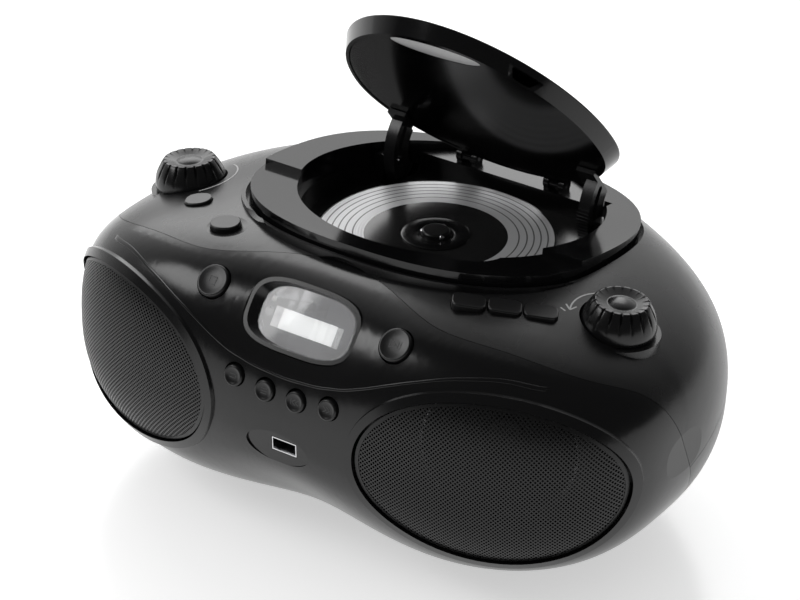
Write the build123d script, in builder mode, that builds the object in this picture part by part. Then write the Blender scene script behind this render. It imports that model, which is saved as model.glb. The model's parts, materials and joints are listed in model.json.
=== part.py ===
# CD radio: a rounded cabinet with a top disc well under a hinged lid, two speaker pods,
# a front display, keys and two knobs. Millimetres, front faces -Y, origin on the floor at the middle.
from build123d import *
from math import atan2, cos, degrees, exp, pi, radians, sin
import os

os.makedirs("parts", exist_ok=True)

# Cabinet
half_width = 166.0
axis_y = -17.6
axis_z = 76.3
front_reach = 101.7
rear_reach = 138.0
crown_reach = 92.5
rear_crown_drop = 14.0
keel_reach = 82.9
cabinet_top = 146.0
front_power = 3.03
rear_power = 2.2
height_power = 2.47
crown_power = 3.1
keel_power = 4.0
blend_power = 9.0
display_dent = 0.068
chin_cut = 0.75
rear_shoulder = 1.0
middle_width = 60.0
wall = 3.0
cut_reach = 60.0
cut_all = 400.0
seam_gap = 0.3

# Seams between the three shells
front_seam_lean = 0.5
bottom_seam_z = 11.0
side_seam_z = 68.0
side_seam_slope = 0.25

# Running and seating clearances
slip_gap = 0.3
shaft_gap = 0.05
groove_gap = 2.0

# Disc and its drive
disc_radius = 60.0
disc_thickness = 1.2
disc_hole_radius = 7.5
disc_y = 13.5
disc_underside_z = 125.4
turntable_radius = 15.0
turntable_thickness = 2.0
hub_radius = 7.2
hub_height = 4.2
hub_ball_radius = 1.5
hub_ball_circle = 6.6
hub_ball_rise = 2.6
hub_ball_count = 3
spindle_radius = 1.5
motor_radius = 11.5
motor_height = 12.0

# Disc well and collar, in a plane that tips towards the rear
well_tilt = 7.63
well_y = 27.8
collar_low_z = 144.1
opening_radius = 77.5
collar_half_x = 95.6
collar_half_y = 84.8
collar_power = 2.43
collar_y = -6.0
collar_depth = 13.0
collar_front_drop = 3.5
collar_step = 3.2
collar_step_y = -30.0
finger_notch_radius = 19.0
finger_notch_depth = 5.0
seat_width = 5.0
rear_seat_width = 1.4
seat_thickness = 2.0
skirt_rise = -8.5
well_wall = 2.0
well_radius = 75.3
well_floor_z = 121.0
well_floor = 2.5
ledge_y = 79.0
ledge_z = 131.5
floor_gap = 2.0
pocket_front_y = 54.3
pocket_rear_y = 86.0
collar_notch_y = 77.5

# Lid hinge
hinge_y = 84.5
hinge_z = 135.0
lid_opening = 43.4
hinge_pin_radius = 1.5
lug_radius = 4.0
lug_thickness = 3.0
knuckle_x = 26.5
knuckle_width = 5.2
knuckle_radius = 3.2
tongue_length = 9.0
tongue_top = 0.5
hinge_side_gap = 0.4

# Lid
lid_lip_radius = 73.0
lid_edge_radius = 76.7
lid_rear_share = 0.743
lid_lip_drop = 3.0
lid_edge_rise = 5.0
lid_crown = 4.0
lid_edge_land = 0.5
lid_wall = 2.2
lining_thickness = 1.5
lining_drop = 2.6
window_y = -63.0
window_half_x = 26.0
window_half_y = 6.0
window_thickness = 1.6
lid_notch_radius = 14.0
lid_notch_angle = -50.0
lid_notch_depth = 6.0
lid_notch_rise = 2.0

# Lid arms and the damper
arm_inner_x = 55.5
arm_thickness = 6.5
arm_inner_radius = 14.0
arm_start = 127.0
arm_end = 227.0
gear_module = 0.6
rack_full_teeth = 94
rack_first_angle = 172.0
damper_teeth = 16
damper_angle = 223.0
mesh_gap = 0.25
guide_radius = 22.1
guide_angle = 189.0
guide_pin_radius = 1.4
guide_pin_seat = 3.0
guide_post_width = 7.0
guide_post_depth = 10.0
arm_room_height = 60.0
guide_post_rise = 3.0
slot_margin = 4.0
arm_foot_y = 29.0
arm_foot_length = 12.0
arm_foot_height = 2.4
arm_foot_spread = 2.0
arm_pocket_gap = 1.5
damper_body_size = 9.0
damper_side_gap = 0.5
damper_shaft_radius = 1.2

# Pickup
lens_start = 24.0
lens_travel = 32.0
lens_radius = 3.0
sled_half_x = 19.0
sled_half_y = 7.0
sled_low_z = 112.8
sled_top_z = 117.9
rod_x = 14.5
rod_radius = 1.5
rod_z = 115.2
screw_x = 25.0
screw_radius = 1.6
screw_z = 113.8
feed_motor_radius = 4.3
feed_motor_length = 16.0
screw_motor_y = 5.0
nut_height = 3.6
nut_overlap = 1.5
nut_reach = 4.5
rod_block = 4.0
rod_block_half = 3.5
screw_block_half = 3.0
rod_cover = 2.5
sled_front_gap = 0.5
sled_rear_gap = 1.0
screw_side_gap = 1.5
screw_groove_depth = 0.5
lens_disc_gap = 2.0
chassis_half_x = 40.0
chassis_front_y = -60.0
chassis_rear_y = 38.0
mount_x = 35.0
mount_front_y = -42.0
mount_rear_y = 33.0
chassis_top_z = 112.0
chassis_thickness = 2.0
mount_radius = 3.5

# Knobs
knob_x = 126.3
knob_y = -21.8
knob_z = 131.8
knob_lean = 5.0
knob_base_radius = 18.4
knob_recess_gap = 0.6
knob_top_radius = 12.6
knob_height = 14.6
knob_skirt = 3.0
knob_dimple_radius = 3.0
knob_dimple_depth = 1.2
knob_bore_depth = 9.0
seat_ring = 2.2
seat_rim = -1.5
seat_depth = 12.0
knob_shaft_radius = 3.0
pot_radius = 8.5
pot_height = 9.0
pot_bush_radius = 4.5
pot_bush_rise = 3.0
bush_top_gap = 0.5
capacitor_size = 20.0
capacitor_height = 12.0

# Keys: place along the width, angle round the cabinet's long axis, size
key_gap = 0.3
key_travel = 1.2
key_stand = 0.6
key_proud = key_travel + key_stand
key_depth = 7.0
key_flange = 1.0
key_flange_thickness = 1.2
key_corner_share = 0.3
key_edge_radius = 0.8
round_key_x = 52.8
round_key_angle = 145.6
round_key_radius = 8.7
small_key_outer_x = 27.4
small_key_inner_x = 9.0
small_key_outer_angle = 167.9
small_key_inner_angle = 169.0
small_key_radius = 5.7
bass_key_x = -101.4
bass_key_angle = 115.5
bass_key_length = 14.0
bass_key_width = 12.0
standby_key_x = -71.7
standby_key_angle = 125.4
standby_key_length = 15.0
standby_key_width = 13.0
oval_power = 2.3
standby_dish_radius = 11.0
standby_dish_depth = 1.3
bar_key_x = 83.5
bar_key_angle = 119.2
bar_key_turn = 27.0
bar_key_length = 16.0
bar_key_width = 12.0
bar_key_pitch = 17.0

# Display
display_angle = 147.8
bezel_half_x = 31.5
bezel_half_y = 17.5
bezel_power = 3.2
bezel_rim = 5.5
bezel_proud = 0.8
display_sink = 4.0
lens_plate = 2.0
module_depth = 6.0
lamp_x = -22.0
lamp_y = 6.0
lamp_radius = 1.2
lamp_height = 2.0
lens_gap = 0.1
eye_x = -22.0
eye_y = -0.5
eye_radius = 2.2

# USB socket
usb_x = 3.0
usb_angle = 184.3
usb_dish_x = -0.6
usb_dish_angle = 185.3
usb_dish_half_x = 18.2
usb_dish_half_z = 8.6
usb_dish_depth = 0.9
usb_width = 14.2
usb_height = 7.0
usb_depth = 15.0
usb_wall = 0.5
usb_tongue_height = 1.8
usb_tongue_drop = 0.8
usb_tongue_setback = 4.8
usb_mouth_inset = 1.0

# Speakers
pod_x = 104.5
pod_y = -95.6
pod_z = 77.4
pod_turn = 23.4
grille_half_x = 66.0
grille_half_z = 42.8
grille_thickness = 1.4
trim_width = 4.0
trim_proud = 1.6
speaker_radius = 38.0
speaker_rim = 41.0
speaker_sink = 27.0
basket_depth = 22.0
magnet_radius = 20.0
magnet_height = 10.0
cone_gap = 0.3
dust_cap_radius = 9.0
baffle_thickness = 3.0
baffle_spread = 30.0
basket_wall = 2.0
cone_rise = 6.0
dust_cap_height = 3.0

# Inner electrics
board_size = (110.0, 60.0)
board_thickness = 1.6
board_z = 22.0
board_x = 0.0
board_y = -22.0
standoff_radius = 3.0
standoff_inset = 5.0
transformer_size = (36.0, 32.0, 34.0)
transformer_x = 96.0
transformer_y = 36.0
transformer_z = 27.0
inlet_x = 60.0
inlet_z = 60.0
inlet_size = (24.0, 16.0)
inlet_depth = 18.0
inlet_pin_radius = 1.2
inlet_pin_pitch = 8.6
inlet_pin_setback = 6.0
inlet_wall = 3.0
inlet_back = 4.0
inlet_corner = 2.0
inlet_lip = 1.0
battery_door_size = (136.0, 44.0)
battery_door_y = 40.0
door_barrel_radius = 1.2
door_barrel_length = 40.0
battery_pitch = 34.0
tray_wall = 2.0
contact_thickness = 0.6
battery_well_height = 36.0
contact_radius = 5.0
foot_radius = 8.0
foot_x = 82.0
foot_front_y = -30.0
foot_rear_y = 48.0
foot_height = 10.0
case_screw_radius = 1.5
case_screw_head = 3.0
screw_head_height = 2.2
screw_length = 14.0
screw_place_x = 106.0
screw_place_y = (-12.0, 70.0)
screw_seat_z = 22.0

left = -1
right = 1
sides = {"left": left, "right": right}


# The cabinet's outline: distance from its long axis at a place x and an angle in the YZ plane
def cabinet_radius(x, angle, inset=0.0):
    across = min(abs(x) / (half_width - inset), 1.0)
    c, s = cos(radians(angle)), sin(radians(angle))
    reach, power = (front_reach, front_power) if c < 0 else (rear_reach, rear_power)
    rise = crown_reach - rear_crown_drop * max(0.0, c) if s > 0 else keel_reach
    middle = exp(-((x / middle_width) ** 2))
    vertical = height_power
    if c < 0 and s < 0:
        vertical -= chin_cut * middle * min(1.0, 1.5 * abs(sin(radians(2 * angle))))
    if c > 0 and s > 0:
        vertical += rear_shoulder * middle * min(1.0, 1.5 * abs(sin(radians(2 * angle))))
    low, high = 0.0, 2.0 * half_width
    for _ in range(36):
        middle_r = (low + high) / 2
        flat = across ** power + abs(middle_r * c / (reach - inset)) ** power
        if flat ** (vertical / power) + abs(middle_r * s / (rise - inset)) ** vertical < 1:
            low = middle_r
        else:
            high = middle_r
    dent = display_dent * middle * exp(-(((angle % 360) - 149.0) / 17.0) ** 2)
    round_radius = low * (1 - dent)
    if abs(s) < 1e-6:
        return round_radius
    if s > 0:
        limit = (cabinet_top - axis_z - inset) * (1 - across ** crown_power) ** (1 / crown_power)
    else:
        limit = (axis_z - inset) * (1 - across ** keel_power) ** (1 / keel_power)
    flat_radius = limit / abs(s)
    return (round_radius ** -blend_power + flat_radius ** -blend_power) ** (-1 / blend_power)


def cabinet_point(x, angle):
    reach = cabinet_radius(x, angle)
    return Vector(x, axis_y + reach * cos(radians(angle)), axis_z + reach * sin(radians(angle)))


# A plane that touches the cabinet, with its x axis along the width
def skin_plane(x, angle, turn=0.0):
    step = 1.0
    along = cabinet_point(x + step, angle) - cabinet_point(x - step, angle)
    round_ = cabinet_point(x, angle + step) - cabinet_point(x, angle - step)
    plane = Plane(origin=cabinet_point(x, angle), x_dir=along, z_dir=along.cross(round_))
    if plane.z_dir.dot(cabinet_point(x, angle) - Vector(x, axis_y, axis_z)) < 0:
        plane = Plane(origin=plane.origin, x_dir=along, z_dir=-plane.z_dir)
    return plane.rotated((0, 0, turn))


station_angles = (-86, -80, -72, -62, -50, -38, -26, -13, 0, 13, 26, 38, 50, 62, 72, 80, 86)
section_points = 40


def cabinet_solid(inset=0.0):
    with BuildPart(mode=Mode.PRIVATE) as solid:
        for station in station_angles:
            x = (half_width - inset) * sin(radians(station))
            points = []
            for count in range(section_points):
                angle = 360.0 * count / section_points
                reach = cabinet_radius(x, angle, inset)
                points.append((axis_y + reach * cos(radians(angle)), axis_z + reach * sin(radians(angle))))
            with BuildSketch(Plane.YZ.offset(x)):
                with BuildLine():
                    Spline(*points, periodic=True)
                make_face()
        loft()
    return solid.part


outer = cabinet_solid()
inner = cabinet_solid(wall)
deep = cabinet_solid(wall + slip_gap)
skin = outer - inner


# The space in front of the seam between the front panel and the top shell
front_seam = [(0, -66.5), (15, -68.5), (30, -73.5), (47, -81.3), (66, -88), (100, -85), (141, -72),
              (157, -58), (180, -55)]
seam_plane_z = 160.0


def front_space(shift):
    lean = front_seam_lean * (145.0 - seam_plane_z)
    places = [(x, y + lean + shift) for x, y in front_seam]
    mirrored = [(-x, y) for x, y in reversed(places[1:])]
    with BuildPart(mode=Mode.PRIVATE) as space:
        with BuildSketch(Plane.XY.offset(seam_plane_z)):
            with BuildLine():
                edge = Spline(*(mirrored + places))
                Polyline(edge @ 1, (edge @ 1 + Vector(0, -250)), (edge @ 0 + Vector(0, -250)), edge @ 0)
            make_face()
        extrude(amount=220, dir=(0, front_seam_lean, -1))
    return space.part


# Plain solids that stay apart from the block they are used in
def block_at(x, y, z, size_x, size_y, size_z):
    return Pos(x, y, z) * Box(size_x, size_y, size_z, mode=Mode.PRIVATE)


def box_between(low, high):
    sizes = [end - start for start, end in zip(low, high)]
    return Pos(*low) * Box(*sizes, align=(Align.MIN, Align.MIN, Align.MIN), mode=Mode.PRIVATE)


def ball_at(x, y, z, radius):
    return Pos(x, y, z) * Sphere(radius, mode=Mode.PRIVATE)


def upright(x, y, radius, low, high):
    return Pos(x, y, (low + high) / 2) * Cylinder(radius, high - low, mode=Mode.PRIVATE)


def slab(low_z, high_z):
    return block_at(0, 0, (low_z + high_z) / 2, 600, 600, high_z - low_z)


def below_side_seam(shift):
    with BuildPart(mode=Mode.PRIVATE) as space:
        with BuildSketch(Plane.YZ):
            with BuildLine():
                low = side_seam_z - side_seam_slope * 250 + shift
                high = side_seam_z + side_seam_slope * 250 + shift
                Polyline((-250, -50), (250, -50), (250, high), (-250, low), close=True)
            make_face()
        extrude(amount=250, both=True)
    return space.part


# Tilted plane of the collar, and the same plane turned up with the open lid
closed_plane = Plane(origin=(0, well_y, collar_low_z), x_dir=(1, 0, 0),
                     z_dir=(0, sin(radians(well_tilt)), cos(radians(well_tilt))))


def turned(vector, angle):
    return Vector(vector.X, vector.Y * cos(radians(angle)) - vector.Z * sin(radians(angle)),
                  vector.Y * sin(radians(angle)) + vector.Z * cos(radians(angle)))


hinge_point = Vector(0, hinge_y, hinge_z)
open_plane = Plane(origin=hinge_point + turned(closed_plane.origin - hinge_point, -lid_opening),
                   x_dir=(1, 0, 0), z_dir=turned(closed_plane.z_dir, -lid_opening))
hinge_local = open_plane.to_local_coords(hinge_point)


def superellipse(half_x, half_y, power, centre_y=0.0, count=48):
    points = []
    for number in range(count):
        c = cos(radians(360.0 * number / count))
        s = sin(radians(360.0 * number / count))
        x = half_x * abs(c) ** (2 / power) * (1 if c > 0 else -1)
        y = half_y * abs(s) ** (2 / power) * (1 if s > 0 else -1)
        points.append((x, centre_y + y))
    return points


def outline_prism(plane, points, low, high):
    with BuildPart(mode=Mode.PRIVATE) as prism:
        with BuildSketch(plane.offset(low)):
            with BuildLine():
                Spline(*points, periodic=True)
            make_face()
        extrude(amount=high - low)
    return prism.part


def cylinder_on(plane, radius, low, high, x=0.0, y=0.0):
    with BuildPart(mode=Mode.PRIVATE) as cylinder:
        with BuildSketch(plane.offset(low)):
            with Locations((x, y)):
                Circle(radius)
        extrude(amount=high - low)
    return cylinder.part


def block_on(plane, size_x, size_y, low, high, x=0.0, y=0.0, corner=0.0):
    with BuildPart(mode=Mode.PRIVATE) as block:
        with BuildSketch(plane.offset(low)):
            with Locations((x, y)):
                if corner > 0:
                    RectangleRounded(size_x, size_y, corner)
                else:
                    Rectangle(size_x, size_y)
        extrude(amount=high - low)
    return block.part


def save(piece, name):
    piece.part.label = name
    export_step(piece.part, f"parts/{name}.step")


# Knob seats and their planes
def knob_plane(side):
    return Plane(origin=(side * knob_x, knob_y, knob_z), x_dir=(cos(radians(knob_lean)), 0,
                 -side * sin(radians(knob_lean))), z_dir=(side * sin(radians(knob_lean)), 0,
                 cos(radians(knob_lean))))


# Keys as solids on the skin: a cap through the panel and a flange inside it.
# A bar key's flange grows only across the row, since its neighbours are close.
def key_cap(plane, shape, grow, low, high):
    kind, size_x, size_y = shape
    if kind == "round":
        return cylinder_on(plane, size_x + grow, low, high)
    if kind == "oval":
        outline = superellipse(size_x / 2 + grow, size_y / 2 + grow, oval_power)
        return outline_prism(plane, outline, low, high)
    corner = key_corner_share * min(size_x, size_y) + grow
    length = size_x + 2 * min(grow, key_gap)
    return block_on(plane, length, size_y + 2 * grow, low, high, corner=corner)


front_keys = {
    "stop_key": (skin_plane(-round_key_x, round_key_angle), ("round", round_key_radius, 0)),
    "play_key": (skin_plane(round_key_x, round_key_angle), ("round", round_key_radius, 0)),
    "mode_key": (skin_plane(-small_key_outer_x, small_key_outer_angle), ("round", small_key_radius, 0)),
    "program_key": (skin_plane(-small_key_inner_x, small_key_inner_angle), ("round", small_key_radius, 0)),
    "skip_back_key": (skin_plane(small_key_inner_x, small_key_inner_angle), ("round", small_key_radius, 0)),
    "skip_forward_key": (skin_plane(small_key_outer_x, small_key_outer_angle),
                         ("round", small_key_radius, 0)),
}
bar_plane = skin_plane(bar_key_x, bar_key_angle, bar_key_turn)
top_keys = {
    "bass_key": (skin_plane(bass_key_x, bass_key_angle, bar_key_turn),
                 ("oval", bass_key_length, bass_key_width)),
    "standby_key": (skin_plane(standby_key_x, standby_key_angle, bar_key_turn),
                    ("oval", standby_key_length, standby_key_width)),
}
for number, name in enumerate(("function_key", "folder_down_key", "folder_up_key")):
    shifted = Plane(origin=bar_plane.from_local_coords((bar_key_pitch * (number - 1), 0, 0)),
                    x_dir=bar_plane.x_dir, z_dir=bar_plane.z_dir)
    top_keys[name] = (shifted, ("bar", bar_key_length, bar_key_width))


def key_holes(keys):
    holes = []
    for plane, shape in keys.values():
        holes.append(key_cap(plane, shape, key_gap, -key_depth, key_depth))
    return holes


for name, (plane, shape) in (front_keys | top_keys).items():
    with BuildPart() as key:
        add(key_cap(plane, shape, 0, -key_depth, key_proud))
        top_edges = key.part.edges().group_by(Axis(plane.origin, plane.z_dir))[-1]
        fillet(top_edges, radius=key_edge_radius)
        add(key_cap(plane, shape, key_flange, -key_depth, -key_depth + key_flange_thickness))
    save(key, name)

# Display bezel, lens, module, lamp and remote eye
display_plane = skin_plane(0, display_angle)
bezel_outer = superellipse(bezel_half_x, bezel_half_y, bezel_power)
bezel_inner = superellipse(bezel_half_x - bezel_rim, bezel_half_y - bezel_rim / 2, bezel_power)

with BuildPart() as display_bezel:
    add(outline_prism(display_plane, bezel_outer, -display_sink - lens_plate, bezel_proud))
    add(cylinder_on(display_plane, 3 * bezel_half_x, -30, 30), mode=Mode.INTERSECT)
    with BuildSketch(display_plane.offset(bezel_proud + 0.01)):
        with BuildLine():
            Spline(*superellipse(bezel_half_x - 2, bezel_half_y - 2, bezel_power), periodic=True)
        make_face()
    with BuildSketch(display_plane.offset(-display_sink)):
        with BuildLine():
            Spline(*bezel_inner, periodic=True)
        make_face()
    loft(mode=Mode.SUBTRACT)
    add(outline_prism(display_plane, bezel_inner, -display_sink - lens_plate - 1, -display_sink + 0.5),
        mode=Mode.SUBTRACT)
save(display_bezel, "display_bezel")

lens_half_x = bezel_half_x - bezel_rim
lens_half_y = bezel_half_y - bezel_rim / 2
lens_outline = superellipse(lens_half_x - lens_gap, lens_half_y - lens_gap, bezel_power)
lens_low = -display_sink - lens_plate
lamp_low = lens_low - lamp_height
with BuildPart() as display_lens:
    add(outline_prism(display_plane, lens_outline, lens_low, -display_sink))
save(display_lens, "display_lens")

module_low = lens_low - module_depth
with BuildPart() as display_module:
    add(block_on(display_plane, 2 * lens_half_x, 2 * lens_half_y, module_low, lens_low))
    add(cylinder_on(display_plane, lamp_radius + shaft_gap, lamp_low, lens_low, lamp_x, lamp_y),
        mode=Mode.SUBTRACT)
    add(cylinder_on(display_plane, eye_radius + shaft_gap, lamp_low, lens_low, eye_x, eye_y),
        mode=Mode.SUBTRACT)
save(display_module, "display_module")

with BuildPart() as status_lamp:
    add(cylinder_on(display_plane, lamp_radius, lamp_low, lens_low, lamp_x, lamp_y))
save(status_lamp, "status_lamp")

with BuildPart() as remote_eye:
    add(cylinder_on(display_plane, eye_radius, lamp_low, lens_low, eye_x, eye_y))
save(remote_eye, "remote_eye")

hole_outline = superellipse(bezel_half_x + seam_gap, bezel_half_y + seam_gap, bezel_power)
bezel_hole = outline_prism(display_plane, hole_outline, -wall * 8, 20)

# USB socket
usb_plane = skin_plane(usb_x, usb_angle)
usb_mouth = -usb_mouth_inset
with BuildPart() as usb_socket:
    add(block_on(usb_plane, usb_width, usb_height, -usb_depth, usb_mouth))
    add(block_on(usb_plane, usb_width - 2 * usb_wall, usb_height - 2 * usb_wall, usb_wall - usb_depth,
                 usb_mouth), mode=Mode.SUBTRACT)
save(usb_socket, "usb_socket")

with BuildPart() as usb_tongue:
    tongue_y = usb_height / 2 - usb_wall - usb_tongue_drop - usb_tongue_height / 2
    add(block_on(usb_plane, usb_width - 2 * usb_wall - 1.5, usb_tongue_height, -usb_depth + usb_wall,
                 usb_mouth - usb_tongue_setback, y=tongue_y))
save(usb_tongue, "usb_tongue")
usb_hole = block_on(usb_plane, usb_width + 2 * seam_gap, usb_height + 2 * seam_gap, -usb_depth - 5, 10)
usb_dish_plane = skin_plane(usb_dish_x, usb_dish_angle)
usb_dish_outline = superellipse(usb_dish_half_x, usb_dish_half_z, 2.0)
usb_dish = outline_prism(usb_dish_plane, usb_dish_outline, -usb_dish_depth, 10)


# Speaker pods
def pod_plane(side):
    turn_sin = side * sin(radians(pod_turn))
    turn_cos = cos(radians(pod_turn))
    return Plane(origin=(side * pod_x, pod_y, pod_z), x_dir=(turn_cos, turn_sin, 0),
                 z_dir=(turn_sin, -turn_cos, 0))


def pod_prism(side, grow, low=-60.0, high=60.0):
    with BuildPart(mode=Mode.PRIVATE) as prism:
        with BuildSketch(pod_plane(side).offset(low)):
            Ellipse(grille_half_x + grow, grille_half_z + grow)
        extrude(amount=high - low)
    return prism.part


proud = cabinet_solid(-trim_proud)
grille_back = cabinet_solid(grille_thickness)
for name, side in sides.items():
    with BuildPart() as grille:
        add(outer & pod_prism(side, -seam_gap))
        add(grille_back, mode=Mode.SUBTRACT)
    save(grille, f"grille_{name}")


def speaker_baffle(side):
    plane = pod_plane(side)
    with BuildPart(mode=Mode.PRIVATE) as baffle:
        add(pod_prism(side, baffle_spread, speaker_face, speaker_face + baffle_thickness))
        add(deep, mode=Mode.INTERSECT)
        add(cylinder_on(plane, speaker_radius, speaker_face - 1, speaker_face + baffle_thickness + 1),
            mode=Mode.SUBTRACT)
        add(block_on(plane, 400, 400, speaker_face - 1, speaker_face + baffle_thickness + 1,
                     x=side * -(grille_half_x + 200)), mode=Mode.SUBTRACT)
        key_plane = skin_plane(side * round_key_x, round_key_angle)
        key_room = cylinder_on(key_plane, round_key_radius + 2 * key_flange, -key_depth - 2 * key_travel,
                               key_depth)
        add(key_room, mode=Mode.SUBTRACT)
    return baffle.part


def speaker_frame(side):
    plane = pod_plane(side)
    low = speaker_face - basket_depth
    with BuildPart(mode=Mode.PRIVATE) as frame:
        with BuildSketch(plane.offset(speaker_face)):
            Circle(speaker_rim)
        with BuildSketch(plane.offset(speaker_face - basket_wall)):
            Circle(speaker_rim)
        with BuildSketch(plane.offset(low)):
            Circle(magnet_radius)
        loft(ruled=True)
        with BuildSketch(plane.offset(speaker_face)):
            Circle(speaker_rim - 2 * basket_wall)
        with BuildSketch(plane.offset(low + basket_wall)):
            Circle(magnet_radius - 2 * basket_wall)
        loft(ruled=True, mode=Mode.SUBTRACT)
    return frame.part


def speaker_cone(side):
    plane = pod_plane(side)
    low = speaker_face - basket_depth + cone_rise
    with BuildPart(mode=Mode.PRIVATE) as cone:
        with BuildSketch(plane.offset(speaker_face - cone_gap)):
            Circle(speaker_rim - 2 * basket_wall - cone_gap)
            Circle(speaker_rim - 3 * basket_wall, mode=Mode.SUBTRACT)
        with BuildSketch(plane.offset(low)):
            Circle(dust_cap_radius + basket_wall)
            Circle(dust_cap_radius, mode=Mode.SUBTRACT)
        loft(ruled=True)
    return cone.part


def dust_cap(side):
    plane = pod_plane(side)
    low = speaker_face - basket_depth + cone_rise
    with BuildPart(mode=Mode.PRIVATE) as cap:
        add(cylinder_on(plane, dust_cap_radius, low, low + dust_cap_height))
        fillet(cap.part.edges().group_by(Axis(plane.origin, plane.z_dir))[-1], radius=dust_cap_height * 0.8)
    return cap.part


def speaker_magnet(side):
    low = speaker_face - basket_depth
    return cylinder_on(pod_plane(side), magnet_radius, low - magnet_height, low)


speaker_face = -speaker_sink
paired_pieces = {"speaker_baffles": [speaker_baffle], "speaker_frames": [speaker_frame],
                 "speaker_cones": [speaker_cone, dust_cap], "speaker_magnets": [speaker_magnet]}
for name, makers in paired_pieces.items():
    with BuildPart() as pair:
        for side in sides.values():
            for maker in makers:
                add(maker(side))
    save(pair, name)

# Shells
key_cuts_front = key_holes(front_keys)
key_cuts_top = key_holes(top_keys)
dish_sphere = (standby_dish_radius ** 2 + standby_dish_depth ** 2) / (2 * standby_dish_depth)
dish_centre = top_keys["standby_key"][0].from_local_coords((0, 0, dish_sphere - standby_dish_depth))
standby_dish = ball_at(dish_centre.X, dish_centre.Y, dish_centre.Z, dish_sphere)
front_part = front_space(0) & slab(bottom_seam_z, cut_all)
front_cut = front_space(seam_gap)

with BuildPart() as front_panel:
    add(skin)
    add(front_part, mode=Mode.INTERSECT)
    add([(proud & (pod_prism(side, trim_width) - pod_prism(side, 0))) - inner for side in sides.values()])
    add([pod_prism(side, 0) for side in sides.values()], mode=Mode.SUBTRACT)
    add(key_cuts_front + [bezel_hole, usb_hole, usb_dish], mode=Mode.SUBTRACT)
save(front_panel, "front_panel")


def collar_outline(grow, rear_grow=None):
    rear_grow = grow if rear_grow is None else rear_grow
    middle = collar_y + (rear_grow - grow) / 2
    return superellipse(collar_half_x + grow, collar_half_y + (grow + rear_grow) / 2, collar_power, middle)


seat_low = -collar_depth - seat_thickness
seat_outline = collar_outline(-seat_width, -rear_seat_width)
skirt_outline = collar_outline(groove_gap + seat_thickness)
groove_outline = collar_outline(groove_gap)

with BuildPart() as upper_shell:
    add(skin)
    add(outline_prism(closed_plane, skirt_outline, seat_low, skirt_rise))
    add(outline_prism(closed_plane, skirt_outline, skirt_rise, cut_reach) & outer)
    add(front_cut, mode=Mode.SUBTRACT)
    add(below_side_seam(seam_gap), mode=Mode.SUBTRACT)
    add(outline_prism(closed_plane, groove_outline, -collar_depth, cut_reach), mode=Mode.SUBTRACT)
    add(outline_prism(closed_plane, seat_outline, -cut_reach, cut_reach), mode=Mode.SUBTRACT)
    planes = [knob_plane(side) for side in sides.values()]
    add([cylinder_on(plane, knob_base_radius + seat_ring, -seat_depth, seat_rim) for plane in planes])
    for plane in planes:
        add([cylinder_on(plane, knob_base_radius + knob_recess_gap, 0, cut_reach),
             cylinder_on(plane, knob_base_radius, -cut_reach, -wall),
             cylinder_on(plane, pot_bush_radius + shaft_gap, -cut_reach, cut_reach)], mode=Mode.SUBTRACT)
    add(key_cuts_top + [standby_dish], mode=Mode.SUBTRACT)
save(upper_shell, "upper_shell")


# Rear mains inlet, set square to the cabinet's back
inlet_plane = skin_plane(inlet_x, degrees(atan2(inlet_z - axis_z, rear_reach)))
inlet_floor = inlet_back - inlet_depth
with BuildPart() as mains_inlet:
    add(block_on(inlet_plane, inlet_size[0], inlet_size[1], -inlet_depth, inlet_lip, corner=inlet_corner))
    add(block_on(inlet_plane, inlet_size[0] - 2 * inlet_wall, inlet_size[1] - 2 * inlet_wall, inlet_floor,
                 inlet_lip + 1, corner=inlet_corner - 0.5), mode=Mode.SUBTRACT)
    for number in (-1, 1):
        add(cylinder_on(inlet_plane, inlet_pin_radius, inlet_floor, -inlet_pin_setback,
                        x=number * inlet_pin_pitch / 2))
save(mains_inlet, "mains_inlet")
inlet_hole = block_on(inlet_plane, inlet_size[0] + 2 * slip_gap, inlet_size[1] + 2 * slip_gap,
                      -inlet_depth - inlet_back, cut_reach / 2, corner=inlet_corner + slip_gap)

door_block = block_at(0, battery_door_y, 0, battery_door_size[0], battery_door_size[1], cut_reach)
door_hole = block_at(0, battery_door_y, 0, battery_door_size[0] + 2 * slip_gap,
                     battery_door_size[1] + 2 * slip_gap, cut_reach)


# Height of the cabinet's underside on its middle line
def underside(y):
    low, high = 200.0, 340.0
    for _ in range(36):
        angle = (low + high) / 2
        if cabinet_point(0, angle).Y < y:
            low = angle
        else:
            high = angle
    return cabinet_point(0, low).Z


def door_barrel(radius, length):
    door_edge_y = battery_door_y + battery_door_size[1] / 2
    return Pos(0, door_edge_y, underside(door_edge_y)) * Rot(0, 90, 0) * Cylinder(radius, length, mode=Mode.PRIVATE)


with BuildPart() as battery_door:
    add(skin)
    add(door_block, mode=Mode.INTERSECT)
    add(door_barrel(door_barrel_radius, door_barrel_length))
save(battery_door, "battery_door")

foot_places = [(side * foot_x, y) for side in sides.values() for y in (foot_front_y, foot_rear_y)]


def corner_places(x, y, size):
    half_x = size[0] / 2 - standoff_inset
    half_y = size[1] / 2 - standoff_inset
    return [(x + i * half_x, y + j * half_y) for i in (-1, 1) for j in (-1, 1)]


board_corners = corner_places(board_x, board_y, board_size)
iron_corners = corner_places(transformer_x, transformer_y, transformer_size)
screw_places = [(side * screw_place_x, y) for side in sides.values() for y in screw_place_y]
tray_wall_x = battery_door_size[0] / 2 + tray_wall / 2 + slip_gap


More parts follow.
